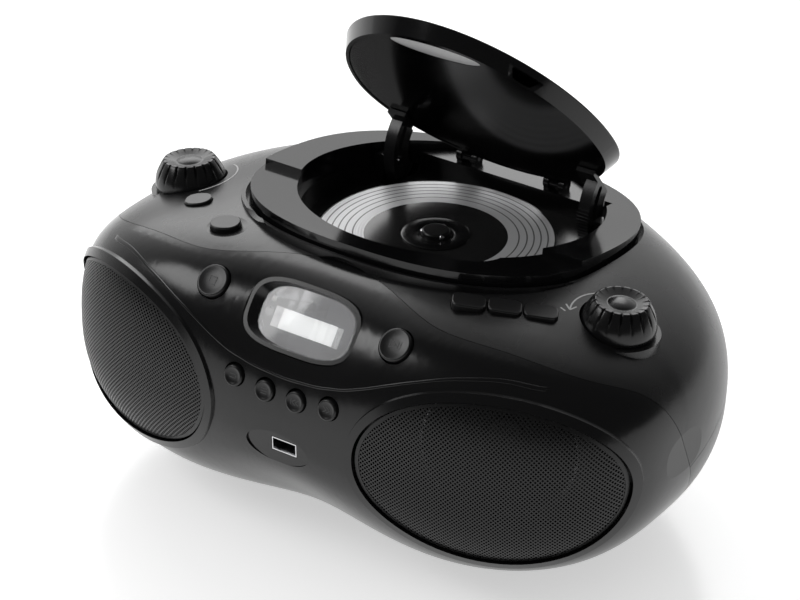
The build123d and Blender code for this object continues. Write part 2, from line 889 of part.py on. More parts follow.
with BuildPart() as posts:
    for x, y in foot_places:
        add(upright(x, y, foot_radius + seat_ring, 0, foot_height + wall))
    for x, y in board_corners:
        add(upright(x, y, standoff_radius, 0, board_z))
    for x, y in iron_corners:
        add(upright(x, y, standoff_radius, 0, transformer_z))
    for x, y in screw_places:
        add(upright(x, y, case_screw_head + seat_ring, 0, screw_seat_z + wall))
    for side in sides.values():
        add(block_at(side * tray_wall_x, battery_door_y, battery_well_height / 2, tray_wall,
                     battery_door_size[1], battery_well_height))
    add(outer, mode=Mode.INTERSECT)

with BuildPart() as lower_shell:
    add(skin)
    add(below_side_seam(0), mode=Mode.INTERSECT)
    add(front_cut & slab(bottom_seam_z - seam_gap, cut_all), mode=Mode.SUBTRACT)
    add([door_hole, door_barrel(door_barrel_radius + slip_gap, door_barrel_length + 2 * slip_gap)],
        mode=Mode.SUBTRACT)
    add(posts.part)
    add([upright(x, y, foot_radius, -1, foot_height) for x, y in foot_places], mode=Mode.SUBTRACT)
    add([upright(x, y, case_screw_head + shaft_gap, -1, screw_seat_z) for x, y in screw_places]
        + [upright(x, y, case_screw_radius + shaft_gap, 0, cut_reach) for x, y in screw_places]
        + [inlet_hole], mode=Mode.SUBTRACT)
save(lower_shell, "lower_shell")

with BuildPart() as rubber_feet:
    for x, y in foot_places:
        add(upright(x, y, foot_radius, 0, foot_height))
save(rubber_feet, "rubber_feet")

with BuildPart() as case_screws:
    for x, y in screw_places:
        add(upright(x, y, case_screw_head, screw_seat_z - screw_head_height, screw_seat_z))
        add(upright(x, y, case_screw_radius, screw_seat_z, screw_seat_z + screw_length))
save(case_screws, "case_screws")

with BuildPart() as main_board:
    add(block_at(board_x, board_y, board_z + board_thickness / 2, board_size[0], board_size[1],
                 board_thickness))
save(main_board, "main_board")

with BuildPart() as transformer:
    with Locations((transformer_x, transformer_y, transformer_z)):
        Box(*transformer_size, align=(Align.CENTER, Align.CENTER, Align.MIN))
save(transformer, "transformer")

contact_z = 0.6 * battery_well_height
with BuildPart() as battery_contacts:
    for side in sides.values():
        for row in (-1, 1):
            contact_x = side * (battery_door_size[0] / 2 + slip_gap - contact_thickness / 2)
            add(block_at(contact_x, battery_door_y + row * battery_pitch / 3, contact_z, contact_thickness,
                         2 * contact_radius, 2 * contact_radius))
save(battery_contacts, "battery_contacts")

# Room for an arm from the pocket's front edge back to a given depth
def arm_room(side, rear_y, middle_z):
    width = arm_thickness + 2 * arm_pocket_gap
    return block_at(side * (arm_inner_x + arm_thickness / 2), (pocket_front_y + rear_y) / 2, middle_z, width,
                    rear_y - pocket_front_y, arm_room_height)


# Collar with its finger notch
with BuildPart() as collar:
    add(outline_prism(closed_plane, collar_outline(0), -collar_depth, collar_step - collar_front_drop))
    add(block_on(closed_plane, cut_all, cut_all, -collar_front_drop, cut_reach,
                 y=collar_step_y - cut_all / 2), mode=Mode.SUBTRACT)
    add(cylinder_on(closed_plane, opening_radius, -cut_reach, cut_reach), mode=Mode.SUBTRACT)
    notch_reach = opening_radius + finger_notch_depth - finger_notch_radius
    notch_x = notch_reach * cos(radians(lid_notch_angle))
    notch_y = notch_reach * sin(radians(lid_notch_angle))
    add(cylinder_on(closed_plane, finger_notch_radius, -collar_front_drop - finger_notch_depth, cut_reach,
                    notch_x, notch_y), mode=Mode.SUBTRACT)
    add([arm_room(side, collar_notch_y, collar_low_z) for side in sides.values()], mode=Mode.SUBTRACT)
save(collar, "collar")

# Disc well: a bowl with a level floor, a rear ledge, hinge lugs and posts for the arm guides
below_floor = slab(-cut_all, well_floor_z - well_floor)
bowl_rim_low = -collar_depth - seat_thickness


def hinge_plane(x):
    return Plane(origin=(x, hinge_y, hinge_z), x_dir=(0, 1, 0), z_dir=(1, 0, 0))


guide_y = hinge_y + guide_radius * cos(radians(guide_angle))
guide_z = hinge_z + guide_radius * sin(radians(guide_angle))
post_x = arm_inner_x + arm_thickness + arm_pocket_gap

with BuildPart() as disc_well:
    add(outline_prism(closed_plane, collar_outline(-seat_width - slip_gap, -rear_seat_width - slip_gap),
                      bowl_rim_low, -collar_depth))
    add(cylinder_on(closed_plane, well_radius + well_wall, -cut_reach, -collar_depth))
    add(below_floor, mode=Mode.SUBTRACT)
    add(cylinder_on(closed_plane, well_radius, -cut_reach, cut_reach) & slab(well_floor_z, cut_all),
        mode=Mode.SUBTRACT)
    ledge_space = cylinder_on(closed_plane, well_radius + well_wall / 2, -cut_reach, cut_reach)
    add(ledge_space & box_between((-cut_all, ledge_y, well_floor_z - 1), (cut_all, cut_all, ledge_z)))
    hollow = cylinder_on(closed_plane, well_radius, -cut_reach, cut_reach)
    add(hollow & box_between((-cut_all, ledge_y + well_wall, well_floor_z - well_floor - 1),
                             (cut_all, cut_all, ledge_z - well_floor)), mode=Mode.SUBTRACT)
    for side in sides.values():
        post = block_at(side * (post_x + guide_post_depth / 2), guide_y,
                        (well_floor_z + ledge_z + guide_post_rise) / 2, guide_post_depth, guide_post_width,
                        ledge_z - well_floor_z + guide_post_rise)
        add(post & ledge_space)
        add(arm_room(side, pocket_rear_y, well_floor_z), mode=Mode.SUBTRACT)
        with BuildSketch(hinge_plane(side * post_x)):
            with Locations((guide_y - hinge_y, guide_z - hinge_z)):
                Circle(guide_pin_radius)
        extrude(amount=side * guide_pin_seat, mode=Mode.SUBTRACT)
        for edge in (-1, 1):
            lug_x = side * knuckle_x + edge * (knuckle_width / 2 + hinge_side_gap + lug_thickness / 2)
            with BuildSketch(hinge_plane(lug_x - lug_thickness / 2)):
                Circle(lug_radius)
                with Locations((0, (ledge_z - hinge_z - 1) / 2)):
                    Rectangle(lug_radius * 1.5, hinge_z - ledge_z + 1)
                Circle(hinge_pin_radius, mode=Mode.SUBTRACT)
            extrude(amount=lug_thickness)
    add(upright(0, disc_y, turntable_radius + floor_gap, 0, well_floor_z + 1), mode=Mode.SUBTRACT)
    lens_room = lens_radius + floor_gap
    add(block_at(0, disc_y - lens_start - lens_travel / 2, well_floor_z, 2 * lens_room,
                 lens_travel + 2 * lens_room, 10), mode=Mode.SUBTRACT)
save(disc_well, "disc_well")

# Hinge pins and the pins that guide the arms
with BuildPart() as hinge_pins:
    for side in sides.values():
        pin_length = knuckle_width + 2 * (hinge_side_gap + lug_thickness)
        with BuildSketch(hinge_plane(side * knuckle_x - pin_length / 2)):
            Circle(hinge_pin_radius)
        extrude(amount=pin_length)
        with BuildSketch(hinge_plane(side * (post_x + guide_pin_seat))):
            with Locations((guide_y - hinge_y, guide_z - hinge_z)):
                Circle(guide_pin_radius)
        extrude(amount=-side * (guide_pin_seat + arm_pocket_gap + arm_thickness))
save(hinge_pins, "hinge_pins")


# Lid, built open: an outline that is round in front and flattened behind
def lid_outline(radius, count=48):
    points = []
    for number in range(count):
        angle = radians(360.0 * number / count)
        share = lid_rear_share if sin(angle) > 0 else 1.0
        points.append((radius * cos(angle), share * radius * sin(angle)))
    return points


crown_radius = (lid_edge_radius ** 2 + lid_crown ** 2) / (2 * lid_crown)


def lid_body(inset, low):
    with BuildPart(mode=Mode.PRIVATE) as body:
        for radius, height in ((lid_lip_radius, low), (lid_edge_radius, lid_edge_rise),
                               (lid_edge_radius, lid_edge_rise + 2 * lid_crown)):
            with BuildSketch(open_plane.offset(height)):
                with BuildLine():
                    Spline(*lid_outline(radius - inset), periodic=True)
                make_face()
        loft(ruled=True)
        crown_top = lid_edge_rise + lid_edge_land + lid_crown
        centre = open_plane.from_local_coords((0, 0, crown_top - crown_radius))
        add(ball_at(centre.X, centre.Y, centre.Z, crown_radius - inset), mode=Mode.INTERSECT)
    return body.part


def window_prism(grow, low, high):
    with BuildPart(mode=Mode.PRIVATE) as prism:
        with BuildSketch(open_plane.offset(low)):
            with Locations((0, window_y)):
                Ellipse(window_half_x + grow, window_half_y + grow)
        extrude(amount=high - low)
    return prism.part


def hinge_drum(radius, centre_x, width):
    with BuildPart(mode=Mode.PRIVATE) as drum:
        with BuildSketch(hinge_plane(centre_x - width / 2)):
            Circle(radius)
        extrude(amount=width)
    return drum.part


lid_full = lid_body(0, -lid_lip_drop)
notch_out = lid_edge_radius + lid_notch_radius - lid_notch_depth
lid_notch_x = notch_out * cos(radians(lid_notch_angle))
lid_notch_y = notch_out * sin(radians(lid_notch_angle))
lid_notch = cylinder_on(open_plane, lid_notch_radius, -lid_lip_drop - 1, lid_notch_rise, lid_notch_x,
                        lid_notch_y)
with BuildPart() as lid_shell:
    add(lid_full)
    add(lid_body(lid_wall, -lid_lip_drop - 1), mode=Mode.SUBTRACT)
    add([block_on(open_plane, knuckle_width, tongue_length, -lid_lip_drop, tongue_top, x=side * knuckle_x,
                  y=hinge_local.Y - tongue_length / 2) for side in sides.values()])
    for side in sides.values():
        for edge in (-1, 1):
            lug_x = side * knuckle_x + edge * (knuckle_width / 2 + hinge_side_gap + lug_thickness / 2)
            lug_room = lug_thickness + 2 * hinge_side_gap
            add(hinge_drum(lug_radius + hinge_side_gap + slip_gap, lug_x, lug_room), mode=Mode.SUBTRACT)
        add(hinge_drum(knuckle_radius, side * knuckle_x, knuckle_width))
        pin_hole = hinge_drum(hinge_pin_radius + shaft_gap, side * knuckle_x, knuckle_width + 1)
        add(pin_hole, mode=Mode.SUBTRACT)
    add(window_prism(slip_gap / 3, 0, 30), mode=Mode.SUBTRACT)
    add(lid_notch, mode=Mode.SUBTRACT)
save(lid_shell, "lid_shell")

with BuildPart() as lid_window:
    add(lid_full)
    add(lid_body(window_thickness, -lid_lip_drop - 1), mode=Mode.SUBTRACT)
    add(window_prism(0, 2, 30), mode=Mode.INTERSECT)
save(lid_window, "lid_window")

with BuildPart() as lid_lining:
    add(outline_prism(open_plane, lid_outline(lid_lip_radius - lid_wall - slip_gap / 3), -lining_drop,
                      -lining_drop + lining_thickness))
    add(window_prism(0, -cut_reach, cut_reach), mode=Mode.SUBTRACT)
    for side in sides.values():
        add(block_on(open_plane, knuckle_width + 1, 2 * tongue_length, -cut_reach, cut_reach,
                     x=side * knuckle_x, y=hinge_local.Y), mode=Mode.SUBTRACT)
    add(cylinder_on(open_plane, lid_notch_radius + lid_wall, -cut_reach, cut_reach, lid_notch_x, lid_notch_y),
        mode=Mode.SUBTRACT)
save(lid_lining, "lid_lining")

# Toothed wheels: plain trapezoid teeth with a small gap on each flank
pitch_rack = gear_module * rack_full_teeth / 2
pitch_damper = gear_module * damper_teeth / 2
addendum = 0.8 * gear_module
dedendum = 1.25 * gear_module
tooth_half = pi * gear_module / 4 - mesh_gap / 4
tooth_slant = 0.36 * gear_module


def tooth_points(pitch, angle):
    places = ((pitch - dedendum - 0.3, tooth_half + 1.3 * tooth_slant), (pitch, tooth_half),
              (pitch + addendum, tooth_half - tooth_slant))
    points = []
    for reach, half in list(places) + [(reach, -half) for reach, half in reversed(places)]:
        points.append((reach * cos(radians(angle)) - half * sin(radians(angle)),
                       reach * sin(radians(angle)) + half * cos(radians(angle))))
    return points


slot_path = CenterArc((0, 0), guide_radius, guide_angle - lid_opening - slot_margin,
                      lid_opening + 2 * slot_margin)


def arm(side, toothed):
    inner_face = side * arm_inner_x
    with BuildPart(mode=Mode.PRIVATE) as piece:
        with BuildSketch(hinge_plane(inner_face)):
            Circle(pitch_rack - dedendum)
            Circle(arm_inner_radius, mode=Mode.SUBTRACT)
            with BuildLine():
                far = 2 * pitch_rack
                Polyline((0, 0), (far * cos(radians(arm_start)), far * sin(radians(arm_start))),
                                 (far * cos(radians((arm_start + arm_end) / 2)),
                                  far * sin(radians((arm_start + arm_end) / 2))),
                                 (far * cos(radians(arm_end)), far * sin(radians(arm_end))), close=True)
            make_face(mode=Mode.INTERSECT)
            if toothed:
                pitch_angle = 360.0 / rack_full_teeth
                count = int((arm_end - 1.5 - rack_first_angle) / pitch_angle) + 1
                for number in range(count):
                    tooth = tooth_points(pitch_rack, rack_first_angle + number * pitch_angle)
                    with BuildLine():
                        Polyline(*tooth, close=True)
                    make_face()
            SlotArc(slot_path, 2 * (guide_pin_radius + slip_gap), mode=Mode.SUBTRACT)
        extrude(amount=side * arm_thickness)
        add(block_on(open_plane, 400, 400, -400, -lid_lip_drop), mode=Mode.INTERSECT)
        foot_centre = side * (arm_inner_x + arm_thickness / 2)
        add(block_on(open_plane, arm_thickness + 2 * arm_foot_spread, arm_foot_length,
                     -lid_lip_drop - arm_foot_height, -lid_lip_drop,
                     x=foot_centre - side * arm_foot_spread, y=arm_foot_y))
    return piece


for name, side in sides.items():
    save(arm(side, toothed=side == right), f"lid_arm_{name}")

# Damper wheel in mesh with the right arm's teeth
damper_distance = pitch_rack + pitch_damper + mesh_gap
damper_y = damper_distance * cos(radians(damper_angle))
damper_z = damper_distance * sin(radians(damper_angle))
rack_pitch_angle = 360.0 / rack_full_teeth
teeth_past = (damper_angle - rack_first_angle) / rack_pitch_angle
rack_phase = teeth_past - int(teeth_past)
damper_pitch_angle = 360.0 / damper_teeth
damper_first = damper_angle + 180 + damper_pitch_angle * (0.5 + rack_phase)
with BuildPart() as damper_wheel:
    with BuildSketch(hinge_plane(arm_inner_x + 1)):
        with Locations((damper_y, damper_z)):
            Circle(pitch_damper - dedendum)
        for number in range(damper_teeth):
            with BuildLine():
                points = tooth_points(pitch_damper, damper_first + number * damper_pitch_angle)
                Polyline(*[(x + damper_y, y + damper_z) for x, y in points], close=True)
            make_face()
    extrude(amount=arm_thickness - 2)
    with BuildSketch(hinge_plane(arm_inner_x + arm_thickness - 1)):
        with Locations((damper_y, damper_z)):
            Circle(damper_shaft_radius)
    extrude(amount=damper_body_size)
save(damper_wheel, "damper_wheel")

damper_centre_y = hinge_y + damper_y
damper_centre_z = hinge_z + damper_z
with BuildPart() as damper_body:
    body_low = damper_centre_z - damper_body_size / 2
    body_high = well_floor_z - well_floor
    body_x = arm_inner_x + arm_thickness + damper_side_gap
    body_y = damper_centre_y - damper_body_size / 2
    add(box_between((body_x, body_y, body_low),
                    (body_x + damper_body_size, body_y + damper_body_size, body_high)))
    with BuildSketch(hinge_plane(arm_inner_x + arm_thickness)):
        with Locations((damper_y, damper_z)):
            Circle(damper_shaft_radius + shaft_gap)
    extrude(amount=damper_body_size, mode=Mode.SUBTRACT)
save(damper_body, "damper_body")

# Compact disc on its turntable
disc_plane = Plane(origin=(0, disc_y, disc_underside_z), z_dir=(0, 0, 1))
with BuildPart() as compact_disc:
    with BuildSketch(disc_plane):
        Circle(disc_radius)
        Circle(disc_hole_radius, mode=Mode.SUBTRACT)
    extrude(amount=disc_thickness)
save(compact_disc, "compact_disc")

ball_z = disc_underside_z + hub_ball_rise


def hub_balls(radius):
    balls = []
    for number in range(hub_ball_count):
        angle = radians(90 + 360.0 * number / hub_ball_count)
        x = hub_ball_circle * cos(angle)
        y = disc_y + hub_ball_circle * sin(angle)
        balls.append(ball_at(x, y, ball_z, radius))
    return balls


with BuildPart() as turntable:
    add(cylinder_on(disc_plane, turntable_radius, -turntable_thickness, 0))
    add(cylinder_on(disc_plane, hub_radius, 0, hub_height))
    fillet(turntable.part.edges().group_by(Axis.Z)[-1], radius=1.2)
    add(upright(0, disc_y, spindle_radius, chassis_top_z - motor_height,
                disc_underside_z - turntable_thickness))
    for ball in hub_balls(hub_ball_radius):
        add(ball, mode=Mode.SUBTRACT)
save(turntable, "turntable")

with BuildPart() as clamp_balls:
    for ball in hub_balls(hub_ball_radius):
        add(ball)
save(clamp_balls, "clamp_balls")

# Chassis with the motors, the rods, the screw and the sled
chassis_low_z = chassis_top_z - chassis_thickness
lens_y = disc_y - lens_start
rod_front_y = lens_y - lens_travel - sled_half_y - sled_front_gap
rod_rear_y = lens_y + sled_half_y + sled_rear_gap
rod_block_top = rod_z + rod_cover
screw_block_top = screw_z + rod_cover
with BuildPart() as drive_motors:
    add(upright(0, disc_y, motor_radius, chassis_low_z - motor_height, chassis_low_z))
    add(upright(0, disc_y, spindle_radius + shaft_gap, 0, well_floor_z), mode=Mode.SUBTRACT)
    with BuildSketch(Plane.XZ.offset(-screw_motor_y)):
        with Locations((screw_x, screw_z)):
            Circle(feed_motor_radius)
    extrude(amount=-feed_motor_length)
    with BuildSketch(Plane.XZ.offset(-screw_motor_y)):
        with Locations((screw_x, screw_z)):
            Circle(screw_radius + shaft_gap)
    extrude(amount=-feed_motor_length / 2, mode=Mode.SUBTRACT)
save(drive_motors, "drive_motors")

mount_places = [(side * mount_x, y) for side in sides.values() for y in (mount_front_y, mount_rear_y)]
with BuildPart() as chassis:
    add(box_between((-chassis_half_x, chassis_front_y, chassis_low_z),
                    (chassis_half_x, chassis_rear_y, chassis_top_z)))
    for y in (rod_front_y - rod_block, rod_rear_y):
        for side in sides.values():
            middle = side * rod_x
            add(box_between((middle - rod_block_half, y, chassis_top_z),
                            (middle + rod_block_half, y + rod_block, rod_block_top)))
    add(box_between((screw_x - screw_block_half, rod_front_y - rod_block, chassis_top_z),
                    (screw_x + screw_block_half, rod_front_y, screw_block_top)))
    with BuildSketch(Plane.XZ.offset(-(rod_front_y - rod_block))):
        with Locations((rod_x, rod_z), (-rod_x, rod_z)):
            Circle(rod_radius)
    extrude(amount=-(rod_rear_y - rod_front_y + 2 * rod_block), mode=Mode.SUBTRACT)
    with BuildSketch(Plane.XZ.offset(-(rod_front_y - rod_block))):
        with Locations((screw_x, screw_z)):
            Circle(screw_radius + shaft_gap)
    extrude(amount=-rod_block, mode=Mode.SUBTRACT)
    add(upright(0, disc_y, spindle_radius + 1, 0, well_floor_z), mode=Mode.SUBTRACT)
    motor_room = feed_motor_radius + slip_gap / 2
    add(box_between((screw_x - motor_room, screw_motor_y - slip_gap, chassis_low_z - 1),
                    (screw_x + motor_room, screw_motor_y + feed_motor_length + slip_gap, well_floor_z)),
        mode=Mode.SUBTRACT)
    screw_room = screw_radius + screw_side_gap
    add(box_between((screw_x - screw_room, rod_front_y, chassis_top_z - screw_groove_depth),
                    (screw_x + screw_room, screw_motor_y, well_floor_z)), mode=Mode.SUBTRACT)
save(chassis, "chassis")

with BuildPart() as isolation_mounts:
    for x, y in mount_places:
        add(upright(x, y, mount_radius, chassis_top_z, well_floor_z - well_floor))
save(isolation_mounts, "isolation_mounts")

rod_length = rod_rear_y - rod_front_y + 2 * rod_block
with BuildPart() as guide_rods:
    with BuildSketch(Plane.XZ.offset(-(rod_front_y - rod_block))):
        with Locations((rod_x, rod_z), (-rod_x, rod_z)):
            Circle(rod_radius)
    extrude(amount=-rod_length)
save(guide_rods, "guide_rods")

with BuildPart() as feed_screw:
    with BuildSketch(Plane.XZ.offset(-(rod_front_y - rod_block))):
        with Locations((screw_x, screw_z)):
            Circle(screw_radius)
    extrude(amount=-(screw_motor_y + feed_motor_length / 2 - 1 - rod_front_y + rod_block))
save(feed_screw, "feed_screw")

with BuildPart() as pickup_sled:
    add(box_between((-sled_half_x, lens_y - sled_half_y, sled_low_z),
                    (sled_half_x, lens_y + sled_half_y, sled_top_z)))
    add(box_between((sled_half_x - nut_overlap, lens_y - sled_half_y / 2, sled_low_z),
                    (screw_x + nut_reach, lens_y + sled_half_y / 2, sled_low_z + nut_height)))
    with BuildSketch(Plane.XZ.offset(-(lens_y - sled_half_y - 1))):
        with Locations((rod_x, rod_z), (-rod_x, rod_z)):
            Circle(rod_radius + slip_gap)
    extrude(amount=-2 * (sled_half_y + 1), mode=Mode.SUBTRACT)
    with BuildSketch(Plane.XZ.offset(-(lens_y - sled_half_y - 1))):
        with Locations((screw_x, screw_z)):
            Circle(screw_radius + shaft_gap)
    extrude(amount=-2 * (sled_half_y + 1), mode=Mode.SUBTRACT)
save(pickup_sled, "pickup_sled")

with BuildPart() as pickup_lens:
    add(upright(0, lens_y, lens_radius, sled_top_z, disc_underside_z - lens_disc_gap))
    fillet(pickup_lens.part.edges().group_by(Axis.Z)[-1], radius=1.0)
save(pickup_lens, "pickup_lens")

# Knobs on their controls
knob_names = {"volume": left, "tuning": right}
for name, side in knob_names.items():
    plane = knob_plane(side)
    with BuildPart() as knob:
        with BuildSketch(plane.offset(slip_gap)):
            Circle(knob_base_radius)
        with BuildSketch(plane.offset(knob_skirt)):
            Circle(knob_base_radius)
        with BuildSketch(plane.offset(knob_height)):
            Circle(knob_top_radius)
        loft(ruled=True)
        fillet(knob.part.edges().group_by(Axis(plane.origin, plane.z_dir))[-1], radius=2.0)
        add(cylinder_on(plane, knob_dimple_radius, knob_height - knob_dimple_depth, knob_height + 1),
            mode=Mode.SUBTRACT)
        add(cylinder_on(plane, pot_bush_radius + 1, 0, pot_bush_rise + bush_top_gap), mode=Mode.SUBTRACT)
        add(cylinder_on(plane, knob_shaft_radius, 0, knob_bore_depth), mode=Mode.SUBTRACT)
    save(knob, f"{name}_knob")
    with BuildPart() as shaft:
        add(cylinder_on(plane, knob_shaft_radius, -wall - pot_height + 2, knob_bore_depth))
    save(shaft, f"{name}_shaft")
    with BuildPart() as control:
        if side == left:
            add(cylinder_on(plane, pot_radius, -wall - pot_height, -wall))
        else:
            add(block_on(plane, capacitor_size, capacitor_size, -wall - capacitor_height, -wall))
        add(cylinder_on(plane, pot_bush_radius, -wall, pot_bush_rise))
        add(cylinder_on(plane, knob_shaft_radius + shaft_gap, -wall - pot_height + 1, pot_bush_rise + 1),
            mode=Mode.SUBTRACT)
    save(control, "volume_control" if side == left else "tuning_capacitor")
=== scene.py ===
import json
from math import cos, pi, radians, sin

import bpy
from mathutils import Matrix, Vector


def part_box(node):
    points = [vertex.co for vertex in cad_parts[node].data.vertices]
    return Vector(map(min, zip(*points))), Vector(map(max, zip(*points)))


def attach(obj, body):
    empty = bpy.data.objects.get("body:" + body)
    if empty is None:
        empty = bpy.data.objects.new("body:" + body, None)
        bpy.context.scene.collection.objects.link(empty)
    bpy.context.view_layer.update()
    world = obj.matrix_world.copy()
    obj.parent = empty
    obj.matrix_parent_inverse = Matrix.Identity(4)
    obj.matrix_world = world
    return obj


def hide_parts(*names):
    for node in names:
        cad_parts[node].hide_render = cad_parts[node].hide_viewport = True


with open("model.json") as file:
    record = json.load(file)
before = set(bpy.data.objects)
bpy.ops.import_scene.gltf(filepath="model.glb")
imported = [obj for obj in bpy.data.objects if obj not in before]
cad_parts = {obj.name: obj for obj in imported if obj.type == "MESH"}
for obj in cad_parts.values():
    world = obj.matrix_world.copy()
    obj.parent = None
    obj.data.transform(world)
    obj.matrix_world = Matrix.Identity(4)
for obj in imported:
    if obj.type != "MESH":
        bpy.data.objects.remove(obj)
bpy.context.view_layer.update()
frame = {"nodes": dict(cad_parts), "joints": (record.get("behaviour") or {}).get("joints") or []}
nodes = frame["nodes"]
print("frame loaded")

mm = 0.001


# Camera, floor and lights

cameraView = {
    "place": (0.726339, -1.103434, 0.816101),
    "right": (0.82526, 0.56442, 0.01910),
    "up": (-0.28434, 0.38604, 0.87757),
    "back": (0.48795, -0.72966, 0.47907),
    "sensor": 36.0,
    "lens": 135.43,
}
floorLook = {"size": 14.0, "drop": 0.4, "colour": (0.88, 0.88, 0.88, 1), "roughness": 0.22, "seen": 0.50}
# The backdrop shows white to the camera, to glass and, on its own side, to glossy rays
worldLook = {"seen": 1.0, "lit": 0.45, "dark": 0.05, "backdrop": (-0.62, 0.78, 0.0), "edge": (0.15, 0.85)}
# place, aimed at, width, height, watts
softBoxes = {
    "rearBox": ((-1.05, 1.10, 1.12), (0.0, 0.0, 0.1), 1.5, 1.0, 10.0),
    "leftBox": ((-1.18, -0.92, 1.22), (0.0, 0.0, 0.1), 0.9, 0.65, 8.0),
}


def makeCamera(view):
    data = bpy.data.cameras.new("viewCamera")
    data.sensor_width = view["sensor"]
    data.lens = view["lens"]
    camera = bpy.data.objects.new("viewCamera", data)
    bpy.context.scene.collection.objects.link(camera)
    turn = Matrix((view["right"], view["up"], view["back"])).transposed()
    camera.matrix_world = Matrix.Translation(view["place"]) @ turn.to_4x4()
    bpy.context.scene.camera = camera


def combine(tree, operation, first, second):
    joined = tree.nodes.new("ShaderNodeMath")
    joined.operation = operation
    for socket, value in zip(joined.inputs, (first, second)):
        if isinstance(value, float):
            socket.default_value = value
        else:
            tree.links.new(value, socket)
    return joined.outputs[0]


def mapped(tree, value, low, high, start=0.0, end=1.0):
    scaled = tree.nodes.new("ShaderNodeMapRange")
    scaled.inputs["From Min"].default_value = start
    scaled.inputs["From Max"].default_value = end
    scaled.inputs["To Min"].default_value = low
    scaled.inputs["To Max"].default_value = high
    tree.links.new(value, scaled.inputs["Value"])
    return scaled.outputs[0]


def directShare(tree, path):
    return combine(tree, "MAXIMUM", path.outputs["Is Camera Ray"], path.outputs["Is Transmission Ray"])


def makeWorld(look):
    world = bpy.data.worlds.new("studioWorld")
    bpy.context.scene.world = world
    world.use_nodes = True
    tree = world.node_tree
    tree.nodes.clear()
    background = tree.nodes.new("ShaderNodeBackground")
    background.inputs["Color"].default_value = (1, 1, 1, 1)
    path = tree.nodes.new("ShaderNodeLightPath")
    facing = tree.nodes.new("ShaderNodeVectorMath")
    facing.operation = "DOT_PRODUCT"
    facing.inputs[1].default_value = look["backdrop"]
    tree.links.new(tree.nodes.new("ShaderNodeTexCoord").outputs["Generated"], facing.inputs[0])
    mirrored = mapped(tree, facing.outputs["Value"], look["dark"], look["seen"], *look["edge"])
    glossy = combine(tree, "MULTIPLY", path.outputs["Is Glossy Ray"], mirrored)
    direct = combine(tree, "MULTIPLY", directShare(tree, path), look["seen"])
    unseen = combine(tree, "SUBTRACT", 1.0, combine(tree, "MAXIMUM", path.outputs["Is Glossy Ray"],
                                                    directShare(tree, path)))
    lit = combine(tree, "MULTIPLY", unseen, look["lit"])
    strength = combine(tree, "ADD", combine(tree, "MAXIMUM", glossy, direct), lit)
    tree.links.new(strength, background.inputs["Strength"])
    out = tree.nodes.new("ShaderNodeOutputWorld")
    tree.links.new(background.outputs[0], out.inputs["Surface"])


def makeLights(boxes):
    for name, (place, aim, width, height, watts) in boxes.items():
        data = bpy.data.lights.new(name, "AREA")
        data.shape = "RECTANGLE"
        data.size = width
        data.size_y = height
        data.energy = watts
        lamp = bpy.data.objects.new(name, data)
        bpy.context.scene.collection.objects.link(lamp)
        lamp.location = place
        lamp.rotation_euler = (Vector(aim) - Vector(place)).to_track_quat("-Z", "Y").to_euler()


def deselect():
    if bpy.context.object and bpy.context.object.mode != "OBJECT":
        bpy.ops.object.mode_set(mode="OBJECT")
    bpy.ops.object.select_all(action="DESELECT")


def makeFloor(look):
    deselect()
    bpy.ops.mesh.primitive_plane_add(size=look["size"], location=(0, 0, -look["drop"] * mm))
    floor = bpy.context.object
    floor.name = "studioFloor"
    material = bpy.data.materials.new("paleFloor")
    material.use_nodes = True
    tree = material.node_tree
    shader = tree.nodes["Principled BSDF"]
    shader.inputs["Base Color"].default_value = look["colour"]
    shader.inputs["Roughness"].default_value = look["roughness"]
    shader.inputs["Emission Color"].default_value = (1, 1, 1, 1)
    path = tree.nodes.new("ShaderNodeLightPath")
    seen = combine(tree, "MAXIMUM", directShare(tree, path), path.outputs["Is Glossy Ray"])
    tree.links.new(combine(tree, "MULTIPLY", seen, look["seen"]), shader.inputs["Emission Strength"])
    floor.data.materials.append(material)


makeCamera(cameraView)
makeWorld(worldLook)
makeLights(softBoxes)
makeFloor(floorLook)
bpy.context.scene.view_settings.view_transform = "Standard"
print("studio set")


# Materials

def addNode(tree, kind, **values):
    node = tree.nodes.new(kind)
    for key, value in values.items():
        if hasattr(node, key):
            setattr(node, key, value)
        else:
            node.inputs[key.replace("_", " ")].default_value = value
    return node


def newMaterial(name, **sockets):
    material = bpy.data.materials.new(name)
    material.use_nodes = True
    tree = material.node_tree
    shader = tree.nodes["Principled BSDF"]
    for key, value in sockets.items():
        shader.inputs[key.replace("_", " ")].default_value = value
    return material, tree, shader


def objectPlace(tree):
    return tree.nodes.new("ShaderNodeTexCoord").outputs["Object"]


# Mixes two colours, each of them a tuple or the output of another node
def mix3(tree, share, low, high):
    mixed = tree.nodes.new("ShaderNodeMix")
    mixed.data_type = "RGBA"
    for socket, colour in ((mixed.inputs[6], low), (mixed.inputs[7], high)):
        if isinstance(colour, tuple):
            socket.default_value = (*colour, 1)
        else:
            tree.links.new(colour, socket)
    tree.links.new(share, mixed.inputs[0])
    return mixed.outputs[2]


# Size and softness of each noise
noiseLook = {
    "cloud": {"Scale": 16.0, "Detail": 4.0, "Roughness": 0.55},
    "brushed": {"Scale": 420.0, "Detail": 3.0},
    "haze": {"Scale": 60.0, "Detail": 3.0},
    "speck": {"Scale": 900.0, "Detail": 1.0},
}
hazeShare = 1.04
grainSize = 0.6 * mm
grainDetail = 2.0


